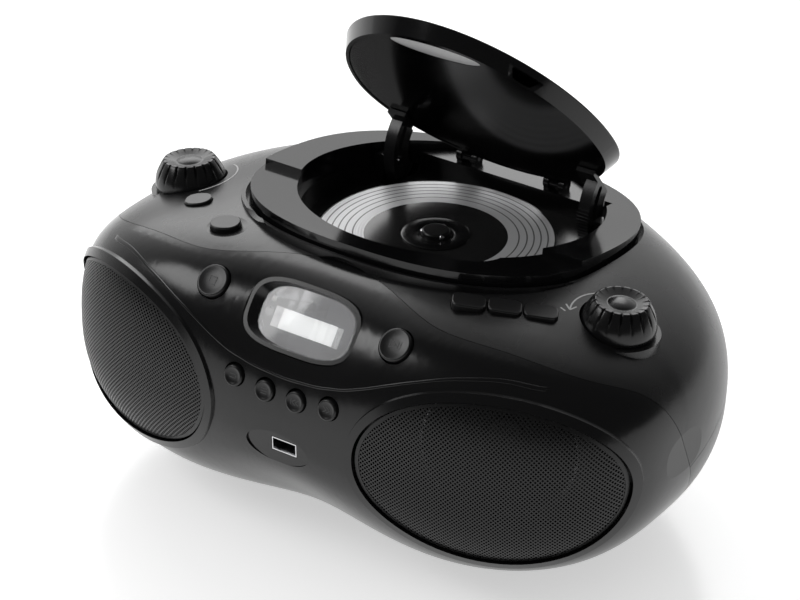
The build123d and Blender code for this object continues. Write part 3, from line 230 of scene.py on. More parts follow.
# Moulded plastic: a little uneven in colour, with a fine grain and softly wandering gloss
def moulded(name, low, high, roughness, bump=0.06, depth=0.05 * mm):
    material, tree, shader = newMaterial(name)
    place = objectPlace(tree)
    cloud = addNode(tree, "ShaderNodeTexNoise", **noiseLook["cloud"])
    tree.links.new(place, cloud.inputs["Vector"])
    tree.links.new(mix3(tree, cloud.outputs["Fac"], low, high), shader.inputs["Base Color"])
    tree.links.new(mapped(tree, cloud.outputs["Fac"], *roughness), shader.inputs["Roughness"])
    fine = addNode(tree, "ShaderNodeTexNoise", Scale=1.0 / grainSize, Detail=grainDetail)
    tree.links.new(place, fine.inputs["Vector"])
    rise = addNode(tree, "ShaderNodeBump", Strength=bump, Distance=depth)
    tree.links.new(fine.outputs["Fac"], rise.inputs["Height"])
    tree.links.new(rise.outputs[0], shader.inputs["Normal"])
    return material


def metal(name, low, high, roughness, stretch=(1, 1, 1)):
    material, tree, shader = newMaterial(name, Metallic=1.0)
    turn = addNode(tree, "ShaderNodeMapping")
    turn.inputs["Scale"].default_value = stretch
    tree.links.new(objectPlace(tree), turn.inputs["Vector"])
    lines = addNode(tree, "ShaderNodeTexNoise", **noiseLook["brushed"])
    tree.links.new(turn.outputs[0], lines.inputs["Vector"])
    tree.links.new(mix3(tree, lines.outputs["Fac"], low, high), shader.inputs["Base Color"])
    tree.links.new(mapped(tree, lines.outputs["Fac"], *roughness), shader.inputs["Roughness"])
    return material


def clearPlastic(name, tint, roughness, bend):
    material, tree, shader = newMaterial(name, IOR=bend)
    shader.inputs["Transmission Weight"].default_value = 1.0
    shader.inputs["Roughness"].default_value = roughness
    haze = addNode(tree, "ShaderNodeTexNoise", **noiseLook["haze"])
    tree.links.new(objectPlace(tree), haze.inputs["Vector"])
    tree.links.new(mix3(tree, haze.outputs["Fac"], tint, tuple(min(1, v * hazeShare) for v in tint)),
                   shader.inputs["Base Color"])
    return material


discLook = {
    "centre": (0, 13.5 * mm, 0), "outer": 60.0, "data": 36.0, "clamp": 17.5,
    "lines": (41.5, 45.5, 49.0, 52.5, 56.0), "lineWidth": 0.35, "groovePitch": 1.55,
    "silver": (0.60, 0.60, 0.61), "label": (0.010, 0.010, 0.010), "line": (0.10, 0.10, 0.10),
    "metallic": 0.35, "roughness": (0.16, 0.38), "rim": 0.8,
    "grooveStrength": 0.25, "grooveDepth": 0.1 * mm,
}


def between(tree, value, low, high):
    above = combine(tree, "GREATER_THAN", value, float(low))
    return combine(tree, "MULTIPLY", above, combine(tree, "LESS_THAN", value, float(high)))


def printedDisc(look):
    material, tree, shader = newMaterial("printedDisc", Metallic=0.0)
    shift = addNode(tree, "ShaderNodeMapping")
    shift.inputs["Location"].default_value = tuple(-v for v in look["centre"])
    tree.links.new(objectPlace(tree), shift.inputs["Vector"])
    flat = addNode(tree, "ShaderNodeVectorMath", operation="MULTIPLY")
    flat.inputs[1].default_value = (1 / mm, 1 / mm, 0)
    tree.links.new(shift.outputs[0], flat.inputs[0])
    length = addNode(tree, "ShaderNodeVectorMath", operation="LENGTH")
    tree.links.new(flat.outputs[0], length.inputs[0])
    reach = length.outputs["Value"]
    ring = between(tree, reach, look["data"], look["outer"] - look["rim"])
    total = None
    for line in look["lines"]:
        band = between(tree, reach, line - look["lineWidth"], line + look["lineWidth"])
        total = band if total is None else combine(tree, "MAXIMUM", total, band)
    base = mix3(tree, ring, look["label"], look["silver"])
    tree.links.new(mix3(tree, total, base, look["line"]), shader.inputs["Base Color"])
    wave = combine(tree, "MULTIPLY", reach, 2 * pi / look["groovePitch"])
    rise = addNode(tree, "ShaderNodeBump", Strength=look["grooveStrength"], Distance=look["grooveDepth"])
    tree.links.new(combine(tree, "MULTIPLY", combine(tree, "SINE", wave, 0.0), ring), rise.inputs["Height"])
    tree.links.new(rise.outputs[0], shader.inputs["Normal"])
    tree.links.new(mapped(tree, ring, 0.0, look["metallic"]), shader.inputs["Metallic"])
    tree.links.new(mapped(tree, ring, *look["roughness"]), shader.inputs["Roughness"])
    return material


# The display plane leans back with the front panel
displayLook = {
    "origin": (0.0, -0.09962, 0.12795), "normal": (0.0, -0.79935, 0.60087),
    "screen": (-14.5, 16.5, -6.8, 3.2), "strip": (-19.2, -14.5, -6.8, 3.2),
    "panel": (0.22, 0.22, 0.222), "lcd": (0.88, 0.89, 0.88), "stripColour": (0.50, 0.50, 0.50),
    # Emission strength: the screen glows as a backlight, and the same glow on the grey panel and the strip
    # is painted light that brightens them
    "glow": 0.45, "roughness": 0.35, "speckStrength": 0.05, "speckDepth": 0.03 * mm,
}


def displayFace(look):
    material, tree, shader = newMaterial("displayFace", Roughness=look["roughness"],
                                         Emission_Strength=look["glow"])
    normal = Vector(look["normal"])
    across = Vector((1, 0, 0))
    upward = normal.cross(across)
    shift = addNode(tree, "ShaderNodeVectorMath", operation="SUBTRACT")
    shift.inputs[1].default_value = look["origin"]
    tree.links.new(objectPlace(tree), shift.inputs[0])
    places = []
    for direction in (across, upward):
        dot = addNode(tree, "ShaderNodeVectorMath", operation="DOT_PRODUCT")
        dot.inputs[1].default_value = tuple(direction / mm)
        tree.links.new(shift.outputs[0], dot.inputs[0])
        places.append(dot.outputs["Value"])
    colour = look["panel"]
    for patch, shade in ((look["screen"], look["lcd"]), (look["strip"], look["stripColour"])):
        inX = between(tree, places[0], patch[0], patch[1])
        inY = between(tree, places[1], patch[2], patch[3])
        colour = mix3(tree, combine(tree, "MULTIPLY", inX, inY), colour, shade)
    speck = addNode(tree, "ShaderNodeTexNoise", **noiseLook["speck"])
    tree.links.new(objectPlace(tree), speck.inputs["Vector"])
    rise = addNode(tree, "ShaderNodeBump", Strength=look["speckStrength"], Distance=look["speckDepth"])
    tree.links.new(speck.outputs["Fac"], rise.inputs["Height"])
    tree.links.new(rise.outputs[0], shader.inputs["Normal"])
    tree.links.new(colour, shader.inputs["Base Color"])
    # The whole face glows in its own colours: a backlight on the screen, painted light on the panel and the
    # strip
    tree.links.new(colour, shader.inputs["Emission Color"])
    return material


# low colour, high colour, roughness range and, where they differ, strength and depth of the grain
mouldedLooks = {
    "shellSatin": ((0.0050, 0.0050, 0.0053), (0.0065, 0.0065, 0.0068), (0.25, 0.30), 0.08),
    "panelGloss": ((0.0045, 0.0045, 0.0048), (0.0060, 0.0060, 0.0063), (0.17, 0.22), 0.05),
    "collarGloss": ((0.0030, 0.0030, 0.0033), (0.0042, 0.0042, 0.0045), (0.09, 0.12), 0.02),
    "wellSatin": ((0.0030, 0.0030, 0.0032), (0.0045, 0.0045, 0.0047), (0.20, 0.28)),
    "keyMatt": ((0.0055, 0.0055, 0.0058), (0.0075, 0.0075, 0.0078), (0.26, 0.34), 0.10),
    "lidGloss": ((0.0030, 0.0030, 0.0033), (0.0042, 0.0042, 0.0045), (0.10, 0.14), 0.03),
    "liningGloss": ((0.0016, 0.0016, 0.0017), (0.0024, 0.0024, 0.0025), (0.10, 0.15), 0.03),
    "knobSatin": ((0.0050, 0.0050, 0.0053), (0.0065, 0.0065, 0.0068), (0.20, 0.27)),
    "armSatin": ((0.0060, 0.0060, 0.0063), (0.0085, 0.0085, 0.0088), (0.22, 0.30)),
    "footRubber": ((0.008, 0.008, 0.008), (0.014, 0.014, 0.014), (0.7, 0.85), 0.3),
    "meshPaint": ((0.0050, 0.0050, 0.0053), (0.0070, 0.0070, 0.0073), (0.30, 0.38), 0.04),
    "conePaper": ((0.020, 0.020, 0.021), (0.034, 0.034, 0.035), (0.55, 0.75), 0.5, 0.2 * mm),
    "boardGreen": ((0.02, 0.10, 0.05), (0.03, 0.14, 0.07), (0.35, 0.5)),
    "whiteNylon": ((0.70, 0.70, 0.68), (0.78, 0.78, 0.76), (0.35, 0.45)),
    "lampCap": ((0.60, 0.60, 0.58), (0.68, 0.68, 0.66), (0.1, 0.15)),
    "eyeGlass": ((0.42, 0.42, 0.42), (0.52, 0.52, 0.52), (0.08, 0.12)),
    "printInk": ((0.52, 0.52, 0.52), (0.64, 0.64, 0.64), (0.5, 0.6)),
    "frosted": ((0.86, 0.86, 0.86), (0.93, 0.93, 0.93), (0.12, 0.2)),
    "markGrey": ((0.040, 0.040, 0.041), (0.055, 0.055, 0.056), (0.4, 0.5)),
}
# low colour, high colour, roughness range and, where it differs, the stretch of its lines
metalLooks = {
    "plated": ((0.62, 0.62, 0.63), (0.74, 0.74, 0.75), (0.12, 0.22)),
    "brushed": ((0.42, 0.42, 0.43), (0.55, 0.55, 0.56), (0.3, 0.45), (1, 1, 12)),
    "laminated": ((0.18, 0.17, 0.16), (0.28, 0.27, 0.25), (0.4, 0.55), (1, 40, 1)),
}
# tint, roughness and index of refraction
clearLooks = {
    "clearLens": ((0.90, 0.90, 0.91), 0.03, 1.49),
    "clearWindow": ((0.95, 0.95, 0.96), 0.12, 1.15),
}

looks = {name: moulded(name, *values) for name, values in mouldedLooks.items()}
looks.update({name: metal(name, *values) for name, values in metalLooks.items()})
looks.update({name: clearPlastic(name, *values) for name, values in clearLooks.items()})
looks["printedDisc"] = printedDisc(discLook)
looks["displayFace"] = displayFace(displayLook)

nodeLooks = {
    "shellSatin": ["upper_shell", "lower_shell", "battery_door"],
    "panelGloss": ["front_panel", "display_bezel"],
    "collarGloss": ["collar"],
    "wellSatin": ["disc_well", "mains_inlet", "speaker_baffles", "chassis", "pickup_sled", "damper_body"],
    "keyMatt": ["stop_key", "play_key", "mode_key", "program_key", "skip_back_key", "skip_forward_key",
                "bass_key", "standby_key", "function_key", "folder_down_key", "folder_up_key", "turntable"],
    "lidGloss": ["lid_shell"],
    "liningGloss": ["lid_lining"],
    "knobSatin": ["volume_knob", "tuning_knob"],
    "armSatin": ["lid_arm_left", "lid_arm_right", "damper_wheel"],
    "footRubber": ["rubber_feet", "isolation_mounts"],
    "meshPaint": ["grille_left", "grille_right"],
    "conePaper": ["speaker_cones"],
    "boardGreen": ["main_board"],
    "whiteNylon": ["tuning_capacitor"],
    "lampCap": ["status_lamp"],
    "eyeGlass": ["remote_eye", "pickup_lens"],
    "plated": ["usb_socket", "usb_tongue", "case_screws", "battery_contacts", "hinge_pins", "clamp_balls",
               "guide_rods", "feed_screw", "volume_shaft", "tuning_shaft", "volume_control"],
    "brushed": ["speaker_frames", "drive_motors"],
    "laminated": ["speaker_magnets", "transformer"],
    "clearLens": ["display_lens"],
    "clearWindow": ["lid_window"],
    "printedDisc": ["compact_disc"],
    "displayFace": ["display_module"],
}


def setLook(piece, name):
    piece.data.materials.clear()
    piece.data.materials.append(looks[name])


for lookName, members in nodeLooks.items():
    for member in members:
        setLook(nodes[member], lookName)
print("materials on the cabinet")


# Shared modelling steps

smoothAngles = {"crisp": 35.0, "soft": 40.0, "round": 50.0}


def activate(piece):
    deselect()
    piece.select_set(True)
    bpy.context.view_layer.objects.active = piece


def finishPiece(piece, name, body, lookName, edges="crisp"):
    activate(piece)
    bpy.ops.object.transform_apply(location=True, rotation=True, scale=True)
    bpy.ops.object.shade_smooth_by_angle(angle=radians(smoothAngles[edges]))
    piece.name = name
    setLook(piece, lookName)
    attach(piece, body)
    return piece


def applyAll(piece):
    activate(piece)
    for modifier in list(piece.modifiers):
        bpy.ops.object.modifier_apply(modifier=modifier.name)


def keepInside(piece, test):
    for polygon in piece.data.polygons:
        polygon.select = not test(polygon.center)
    bpy.ops.object.mode_set(mode="EDIT")
    bpy.ops.mesh.delete(type="FACE")
    bpy.ops.object.mode_set(mode="OBJECT")


def clearSelection(piece):
    bpy.ops.object.mode_set(mode="EDIT")
    bpy.ops.mesh.select_all(action="DESELECT")
    bpy.ops.object.mode_set(mode="OBJECT")


# Leaves only the vertices that pass the test, with the edges between them
def keepVertices(piece, test):
    bpy.context.tool_settings.mesh_select_mode = (True, False, False)
    clearSelection(piece)
    for vertex in piece.data.vertices:
        vertex.select = not test(vertex.co)
    bpy.ops.object.mode_set(mode="EDIT")
    bpy.ops.mesh.delete(type="VERT")
    bpy.ops.object.mode_set(mode="OBJECT")


def startCircle(level, sides, fill):
    deselect()
    height, radius = level
    bpy.ops.mesh.primitive_circle_add(vertices=sides, radius=radius * mm, fill_type=fill,
                                      location=(0, 0, height * mm))
    bpy.ops.object.transform_apply(location=True)
    bpy.ops.object.mode_set(mode="EDIT")
    bpy.ops.mesh.select_all(action="SELECT")
    return bpy.context.object


# Carries the selected loop from each level of (height, radius) to the next
def extrudeLevels(levels):
    for (height, radius), (nextHeight, nextRadius) in zip(levels, levels[1:]):
        rise = (nextHeight - height) * mm
        bpy.ops.mesh.extrude_edges_move(TRANSFORM_OT_translate={"value": (0, 0, rise)})
        scale = nextRadius / radius
        bpy.ops.transform.resize(value=(scale, scale, 1), center_override=(0, 0, 0))


# A solid turned about Z from levels of (height, radius), the lowest first
def turnedSolid(levels, sides):
    body = startCircle(levels[0], sides, "NGON")
    bpy.ops.mesh.flip_normals()
    bpy.ops.mesh.select_mode(type="EDGE")
    bpy.ops.mesh.region_to_loop()
    extrudeLevels(levels)
    bpy.ops.mesh.edge_face_add()
    bpy.ops.object.mode_set(mode="OBJECT")
    return body


def drape(piece, target, offset=0.0):
    wrap = piece.modifiers.new("drape", "SHRINKWRAP")
    wrap.target = target
    wrap.wrap_method = "PROJECT"
    wrap.use_project_z = True
    wrap.use_negative_direction = True
    wrap.use_positive_direction = False
    wrap.offset = offset


def thicken(piece, thickness, offset=0):
    wall = piece.modifiers.new("wall", "SOLIDIFY")
    wall.thickness = thickness * mm
    wall.offset = offset


def roundEdges(piece, width, segments=2):
    edge = piece.modifiers.new("edge", "BEVEL")
    edge.width = width * mm
    edge.segments = segments


def planeMatrix(origin, across, normal):
    normal = Vector(normal).normalized()
    across = (Vector(across) - normal * normal.dot(Vector(across))).normalized()
    upward = normal.cross(across)
    turn = Matrix((across, upward, normal)).transposed().to_4x4()
    return Matrix.Translation(origin) @ turn


# A plane through the middle of a node, moved along its normal to the given level
def levelPlane(name, normal, level):
    low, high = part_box(name)
    centre = (Vector(low) + Vector(high)) / 2
    return planeMatrix(centre + normal * (level - centre.dot(normal)), (1, 0, 0), normal)


# Perforated speaker grilles

grilleLook = {
    "podX": 104.5, "podY": -95.6, "podZ": 77.4, "podTurn": 23.4,
    "halfWidth": 66.0, "halfHeight": 42.8, "pitch": 1.55, "bar": 0.30, "sheetShare": 2.6, "meshTurn": 45.0,
    "thickness": 0.8, "rimShare": 0.960, "edgeShare": 0.976, "rimStep": 0.986, "start": 40.0,
    "rimSides": 160, "rimBands": 2, "rimLift": 0.2,
}


def podMatrix(side, look):
    turn = radians(look["podTurn"])
    origin = Vector((side * look["podX"], look["podY"], look["podZ"])) * mm
    return planeMatrix(origin, (cos(turn), side * sin(turn), 0), (side * sin(turn), -cos(turn), 0))


def makeGrille(side, name, look):
    halfWidth, halfHeight = look["halfWidth"] * mm, look["halfHeight"] * mm
    pitch = look["pitch"] * mm
    count = int(halfWidth * look["sheetShare"] / pitch)
    place = podMatrix(side, look) @ Matrix.Translation((0, 0, look["start"] * mm))
    deselect()
    bpy.ops.mesh.primitive_grid_add(x_subdivisions=count, y_subdivisions=count, size=count * pitch)
    sheet = bpy.context.object
    sheet.rotation_euler = (0, 0, radians(look["meshTurn"]))
    bpy.ops.object.transform_apply(rotation=True)
    clearSelection(sheet)
    inner = look["rimShare"]
    keepInside(sheet, lambda c: (c.x / (halfWidth * inner)) ** 2 + (c.y / (halfHeight * inner)) ** 2 < 1)
    bpy.ops.object.mode_set(mode="EDIT")
    bpy.ops.mesh.select_all(action="SELECT")
    bpy.ops.mesh.inset(thickness=look["bar"] * mm, depth=0, use_individual=True)
    bpy.ops.mesh.delete(type="FACE")
    bpy.ops.object.mode_set(mode="OBJECT")
    sheet.matrix_world = place
    drape(sheet, nodes[f"grille_{name}"])
    applyAll(sheet)
    deselect()
    bpy.ops.mesh.primitive_circle_add(vertices=look["rimSides"], radius=1.0, fill_type="NOTHING")
    rim = bpy.context.object
    bpy.ops.object.mode_set(mode="EDIT")
    bpy.ops.mesh.select_all(action="SELECT")
    outer = look["edgeShare"]
    bpy.ops.transform.resize(value=(halfWidth * outer, halfHeight * outer, 1))
    for _ in range(look["rimBands"]):
        bpy.ops.mesh.extrude_edges_move()
        bpy.ops.transform.resize(value=(look["rimStep"], look["rimStep"], 1))
    bpy.ops.object.mode_set(mode="OBJECT")
    rim.matrix_world = place
    drape(rim, nodes[f"grille_{name}"], look["rimLift"] * mm)
    applyAll(rim)
    for piece in (sheet, rim):
        thicken(piece, look["thickness"], -1 if piece.data.polygons[0].normal.z > 0 else 1)
        applyAll(piece)
    deselect()
    rim.select_set(True)
    sheet.select_set(True)
    bpy.context.view_layer.objects.active = sheet
    bpy.ops.object.join()
    grille = finishPiece(sheet, f"perforatedGrille{name.capitalize()}", "cabinet", "meshPaint")
    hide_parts(f"grille_{name}")


for grilleName, grilleSide in (("left", -1), ("right", 1)):
    makeGrille(grilleSide, grilleName, grilleLook)
print("grilles made")


# Bell-shaped knobs with a notched rim, a dished top and a domed centre

knobLook = {
    "x": 126.3, "y": -21.8, "z": 131.8, "lean": 5.0, "sides": 252, "notches": 18,
    # height above the seat, radius, share of the notch depth
    "profile": ((-1.1, 17.7, 0), (0.2, 18.1, 0), (2.0, 18.25, 0), (4.2, 18.0, 0), (6.2, 17.5, 0.1),
                (8.2, 16.7, 0.4), (10.0, 15.8, 0.75), (11.8, 14.8, 1.0), (13.2, 13.9, 1.0),
                (14.1, 13.2, 1.0), (14.35, 12.7, 0.7), (14.2, 12.0, 0.25), (13.5, 9.6, 0), (12.9, 7.4, 0),
                (12.75, 6.8, 0), (13.1, 6.1, 0), (13.8, 4.4, 0), (14.15, 2.0, 0)),
    "notchDepth": 1.4, "notchWidth": 0.32,
}


def knobPlane(side, look):
    lean = radians(look["lean"])
    origin = Vector((side * look["x"], look["y"], look["z"])) * mm
    return planeMatrix(origin, (cos(lean), 0, -side * sin(lean)), (side * sin(lean), 0, cos(lean)))


def makeKnob(side, name, look):
    knob = turnedSolid([level[:2] for level in look["profile"]], look["sides"])
    shares = {round(level[1], 3): level[2] for level in look["profile"]}
    for vertex in knob.data.vertices:
        reach = Vector(vertex.co.xy).length
        share = shares[round(reach / mm, 3)]
        lobe = Vector((1, 0)).angle_signed(Vector(vertex.co.xy)) * look["notches"] / (2 * pi)
        off = abs(lobe - round(lobe)) * 2 / look["notchWidth"]
        if share and off < 1:
            factor = 1 - share * look["notchDepth"] * mm * (1 + cos(pi * off)) / 2 / reach
            vertex.co.x *= factor
            vertex.co.y *= factor
    knob.matrix_world = knobPlane(side, look)
    finishPiece(knob, f"{name}KnobCap", name, "knobSatin", "round")
    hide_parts(f"{name}_knob")


makeKnob(-1, "volume", knobLook)
makeKnob(1, "tuning", knobLook)
print("knobs made")


# Round keys with a dished top

def pieceName(name, ending):
    parts = name.split("_")
    return parts[0] + "".join(part.capitalize() for part in parts[1:]) + ending


def keyPlane(name):
    joint = next(j for j in frame["joints"] if j["name"] == f"{name}_press")
    normal = -Vector(joint["axis"])
    return levelPlane(name, normal, max(vertex.co.dot(normal) for vertex in nodes[name].data.vertices))


# radius of each
roundKeys = {"stop_key": 8.25, "play_key": 8.25, "mode_key": 5.25, "program_key": 5.25,
             "skip_back_key": 5.25, "skip_forward_key": 5.25}
roundKeyLook = {
    "sides": 96,
    # height under the top and how far the wall has come in
    "wall": ((-8.0, 0.0), (-0.95, 0.0), (-0.50, 0.10), (-0.16, 0.38), (0.0, 0.8), (-0.06, 1.2)),
    # height under the top and share of the radius
    "dish": ((-0.34, 0.68), (-0.54, 0.50), (-0.62, 0.30)),
}


def makeRoundKey(name, radius, look):
    levels = [(height, radius - inward) for height, inward in look["wall"]]
    levels += [(height, radius * share) for height, share in look["dish"]]
    cap = turnedSolid(levels, look["sides"])
    cap.matrix_world = keyPlane(name)
    finishPiece(cap, pieceName(name, "Cap"), name, "keyMatt", "round")
    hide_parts(name)


for keyName, keyRadius in roundKeys.items():
    makeRoundKey(keyName, keyRadius, roundKeyLook)
print("round keys made")


# Marks moulded in the keys

markLook = {"thickness": 0.12, "lift": -0.60, "stroke": 0.5, "roundShare": 0.3}
# Each mark is a list of strokes between points, in millimetres on the key's face
triangleRight = [((-2.6, -2.0), (-2.6, 2.0)), ((-2.6, 2.0), (0.6, 0.0)), ((0.6, 0.0), (-2.6, -2.0))]
keyMarks = {
    "stop_key": [((-1.9, -1.9), (1.9, -1.9)), ((1.9, -1.9), (1.9, 1.9)), ((1.9, 1.9), (-1.9, 1.9)),
                 ((-1.9, 1.9), (-1.9, -1.9))],
    "play_key": triangleRight + [((1.8, -2.0), (1.8, 2.0)), ((3.2, -2.0), (3.2, 2.0))],
    "mode_key": [((-1.6, -0.9), (1.6, -0.9)), ((-1.6, 0.9), (1.6, 0.9)), ((1.6, -0.9), (1.6, 0.9))],
    "program_key": [((-1.5, -1.2), (1.5, -1.2)), ((-1.5, 0.0), (1.5, 0.0)), ((-1.5, 1.2), (1.5, 1.2))],
    "skip_back_key": [((-2.2, -1.3), (-2.2, 1.3)), ((0.2, 1.3), (-1.6, 0.0)), ((-1.6, 0.0), (0.2, -1.3)),
                      ((2.2, 1.3), (0.4, 0.0)), ((0.4, 0.0), (2.2, -1.3))],
    "skip_forward_key": [((2.2, -1.3), (2.2, 1.3)), ((-0.2, 1.3), (1.6, 0.0)), ((1.6, 0.0), (-0.2, -1.3)),
                         ((-2.2, 1.3), (-0.4, 0.0)), ((-0.4, 0.0), (-2.2, -1.3))],
}


def strokePiece(start, end, look):
    width, thickness = look["stroke"], look["thickness"]
    start, end = Vector(start), Vector(end)
    middle = (start + end) / 2
    bpy.ops.mesh.primitive_cube_add(size=1.0, location=(*middle * mm, 0))
    stroke = bpy.context.object
    along = end - start
    stroke.scale = ((along.length + width) * mm, width * mm, thickness * mm)
    stroke.rotation_euler = (0, 0, Vector((1, 0)).angle_signed(along) * -1)
    bpy.ops.object.transform_apply(location=True, rotation=True, scale=True)
    roundEdges(stroke, thickness * look["roundShare"], 1)
    applyAll(stroke)
    return stroke


def joinStrokes(strokes):
    deselect()
    for stroke in strokes:
        stroke.select_set(True)
    bpy.context.view_layer.objects.active = strokes[0]
    if len(strokes) > 1:
        bpy.ops.object.join()
    return bpy.context.object


def makeMark(name, lines, look):
    strokes = []
    for start, end in lines:
        deselect()
        strokes.append(strokePiece(start, end, look))
    mark = joinStrokes(strokes)
    mark.matrix_world = keyPlane(name) @ Matrix.Translation((0, 0, look["lift"] * mm))
    finishPiece(mark, pieceName(name, "Mark"), name, "markGrey")


for markName, markLines in keyMarks.items():
    makeMark(markName, markLines, markLook)
print("key marks made")


# Printed lines beside the knobs

printLook = {"lift": 0.06, "thickness": 0.06, "start": 30.0, "width": 0.8, "step": 5.0, "barSteps": 4}
# side, arcs as (centre, radius, low angle, high angle) and bars as (start, end), on the knob's plane
knobPrints = {
    "volumePrint": (-1, [((-3.7, 1.9), 25.8, -38.0, 62.0)], []),
    "tuningPrint": (1, [((-2.4, -1.0), 20.9, 138.0, 208.0)],
                    [((-20.9, -10.8), (-24.6, -8.2)), ((-20.9, -10.8), (-19.9, -6.2)),
                     ((-21.9, -13.3), (-24.9, -12.7))]),
}


def arcStrip(centre, radius, low, high, look):
    deselect()
    bpy.ops.mesh.primitive_plane_add(size=look["width"] * mm, location=(radius * mm, 0, 0))
    strip = bpy.context.object
    bpy.ops.object.transform_apply(location=True)
    keepVertices(strip, lambda c: c.y < 0)
    bpy.ops.object.mode_set(mode="EDIT")
    bpy.ops.mesh.select_all(action="SELECT")
    bpy.ops.mesh.spin(steps=int((high - low) / look["step"]) + 1, angle=radians(low - high),
                      center=(0, 0, 0), axis=(0, 0, 1))
    bpy.ops.object.mode_set(mode="OBJECT")
    strip.matrix_world = Matrix.Translation((centre[0] * mm, centre[1] * mm, 0)) @ Matrix.Rotation(
        radians(low), 4, "Z")
    return strip


def barStrip(start, end, look):
    deselect()
    start, end = Vector(start), Vector(end)
    middle = (start + end) / 2
    bpy.ops.mesh.primitive_grid_add(x_subdivisions=look["barSteps"], y_subdivisions=1, size=1.0)
    strip = bpy.context.object
    strip.scale = ((end - start).length * mm, look["width"] * mm, 1)
    bpy.ops.object.transform_apply(scale=True)
    turn = Matrix.Rotation(-Vector((1, 0)).angle_signed(end - start), 4, "Z")
    strip.matrix_world = Matrix.Translation((middle.x * mm, middle.y * mm, 0)) @ turn
    return strip


def makePrint(name, side, arcs, bars, look):
    strips = [arcStrip(*arc, look) for arc in arcs] + [barStrip(*bar, look) for bar in bars]
    strip = joinStrokes(strips)
    bpy.ops.object.transform_apply(location=True, rotation=True, scale=True)
    strip.matrix_world = knobPlane(side, knobLook) @ Matrix.Translation((0, 0, look["start"] * mm))
    drape(strip, nodes["upper_shell"], look["lift"] * mm)
    thicken(strip, look["thickness"])
    applyAll(strip)
    finishPiece(strip, name, "cabinet", "printInk")


for printName, (printSide, printArcs, printBars) in knobPrints.items():
    makePrint(printName, printSide, printArcs, printBars, printLook)
print("prints made")


# The crease that sweeps over the front, and comes down under the display

creaseLook = {
    "start": -150.0, "height": 1.3, "thickness": 0.7, "lift": 0.05, "round": 0.25, "steps": 5,
    # distance from the middle and height
    "points": ((0.0, 103.6), (17.3, 104.7), (26.0, 106.2), (34.1, 108.0), (45.8, 112.2), (56.9, 116.8),
               (70.8, 122.0), (87.1, 126.6), (107.5, 128.7), (126.0, 126.2)),
}


# Points on a smooth curve through the given ones
def smoothRun(points, steps):
    points = [Vector(point) for point in points]
    padded = [2 * points[0] - points[1], *points, 2 * points[-1] - points[-2]]
    run = []
    for a, b, c, d in zip(padded, padded[1:], padded[2:], padded[3:]):
        for step in range(steps):
            t = step / steps
            run.append((2 * b + (c - a) * t + (2 * a - 5 * b + 4 * c - d) * t ** 2
                        + (3 * b - a - 3 * c + d) * t ** 3) / 2)
    return [*run, points[-1]]


def makeCrease(look):
    half = look["points"]
    run = smoothRun([(-x, z) for x, z in reversed(half)] + list(half[1:]), look["steps"])
    deselect()
    bpy.ops.mesh.primitive_plane_add(size=look["height"] * mm, location=(0, 0, 0))
    crease = bpy.context.object
    keepVertices(crease, lambda c: c.x < 0)
    bpy.ops.object.mode_set(mode="EDIT")
    bpy.ops.mesh.select_all(action="SELECT")
    bpy.ops.mesh.select_mode(type="EDGE")
    bpy.ops.transform.translate(value=(run[0].x * mm, run[0].y * mm, 0))
    for before, after in zip(run, run[1:]):
        step = (after - before) * mm
        bpy.ops.mesh.extrude_edges_move(TRANSFORM_OT_translate={"value": (step.x, step.y, 0)})
    bpy.ops.object.mode_set(mode="OBJECT")
    crease.matrix_world = planeMatrix(Vector((0, look["start"], 0)) * mm, (1, 0, 0), (0, -1, 0))
    drape(crease, nodes["front_panel"], look["lift"] * mm)
    thicken(crease, look["thickness"])
    roundEdges(crease, look["round"])
    applyAll(crease)
    finishPiece(crease, "frontCrease", "cabinet", "panelGloss", "round")


makeCrease(creaseLook)
print("crease made")


# The clamping ring on the disc, and the pane seen inside the lid

ringLook = {
    "centre": (0.0, 13.5, 0.0), "sides": 96, "merge": 0.01,
    "levels": ((126.62, 9.0), (126.62, 17.5), (127.2, 17.3), (127.4, 16.8), (127.4, 10.0), (127.0, 9.2)),
}
paneLook = {
    "lean": 51.0, "halfX": 26.0, "halfY": 6.0, "level": 149.75, "thickness": 1.0, "sides": 96, "round": 0.3,
}


def makeRing(look):
    levels = look["levels"]
    ring = startCircle(levels[0], look["sides"], "NOTHING")
    bpy.ops.mesh.select_mode(type="EDGE")
    extrudeLevels((*levels, levels[0]))
    bpy.ops.mesh.select_all(action="SELECT")
    bpy.ops.mesh.remove_doubles(threshold=look["merge"] * mm)
    bpy.ops.mesh.normals_make_consistent(inside=False)
    bpy.ops.object.mode_set(mode="OBJECT")
    ring.location = Vector(look["centre"]) * mm
    finishPiece(ring, "discClampRing", "spinner", "wellSatin", "soft")


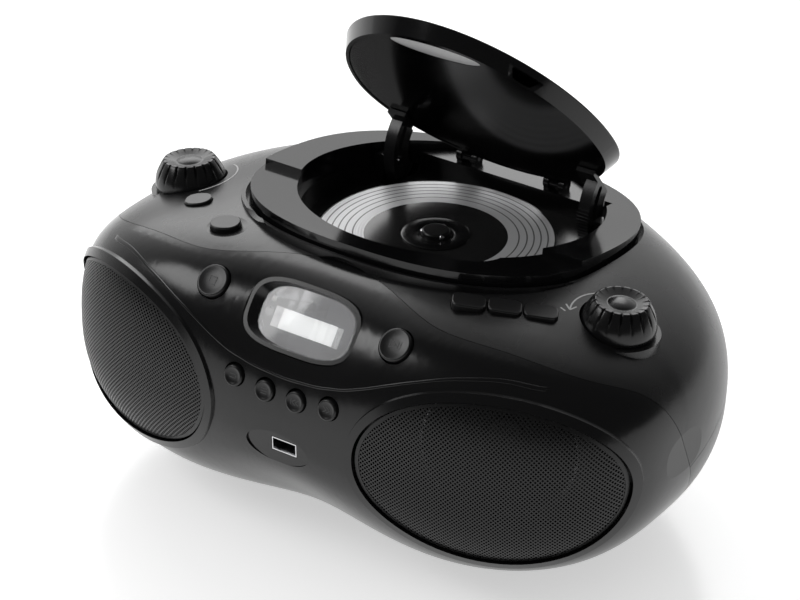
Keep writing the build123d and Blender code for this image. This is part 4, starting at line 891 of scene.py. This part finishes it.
def makePane(look):
    lean = radians(look["lean"])
    normal = Vector((0, sin(lean), cos(lean)))
    pane = turnedSolid(((0, 1 / mm), (look["thickness"], 1 / mm)), look["sides"])
    pane.scale = (look["halfX"] * mm, look["halfY"] * mm, 1)
    bpy.ops.object.transform_apply(scale=True)
    pane.matrix_world = levelPlane("lid_window", normal, look["level"] * mm)
    roundEdges(pane, look["round"])
    applyAll(pane)
    finishPiece(pane, "lidInnerPane", "lid", "frosted", "soft")


makeRing(ringLook)
makePane(paneLook)
print("ring and pane made")


# Feet carried up into the rounded base, and case screws seated on it

footLook = {
    "x": 82.0, "ys": (-30.0, 48.0), "sides": 64,
    "levels": ((0.0, 7.3), (0.3, 7.8), (0.9, 8.0), (10.0, 8.0), (17.5, 7.4)),
}
screwLook = {
    "x": 106.0, "ys": (-12.0, 70.0), "sides": 48, "probe": 2.4,
    "levels": ((-1.2, 2.2), (-1.0, 2.7), (-0.6, 3.0), (0.6, 3.0), (0.6, 1.5), (9.0, 1.5)),
}


def copyPiece(piece, place):
    activate(piece)
    bpy.ops.object.duplicate(linked=False)
    copied = bpy.context.object
    copied.matrix_world = place
    return copied


def fourPlaces(look):
    return [Vector((side * look["x"], y, 0)) * mm for side in (-1, 1) for y in look["ys"]]


# The underside round a place: the mean of what four upward rays meet, facing inwards
def undersidePlace(place, probe):
    spots, normals = Vector(), Vector()
    for step in ((probe, 0, 0), (-probe, 0, 0), (0, probe, 0), (0, -probe, 0)):
        _, spot, normal, _ = nodes["lower_shell"].ray_cast(place + Vector(step) * mm, Vector((0, 0, 1)))
        spots += spot / 4
        normals += normal
    return planeMatrix(spots, (1, 0, 0), -normals)


def makeSet(name, oldNode, lookName, look, places):
    model = turnedSolid(look["levels"], look["sides"])
    pieces = [copyPiece(model, place) for place in places]
    bpy.data.objects.remove(model)
    joined = joinStrokes(pieces)
    bpy.ops.object.transform_apply(location=True, rotation=True, scale=True)
    finishPiece(joined, name, "cabinet", lookName)
    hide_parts(oldNode)


makeSet("cabinetFeet", "rubber_feet", "footRubber", footLook,
        [Matrix.Translation(place) for place in fourPlaces(footLook)])
makeSet("caseScrewSet", "case_screws", "plated", screwLook,
        [undersidePlace(place, screwLook["probe"]) for place in fourPlaces(screwLook)])
print("feet and screws made")
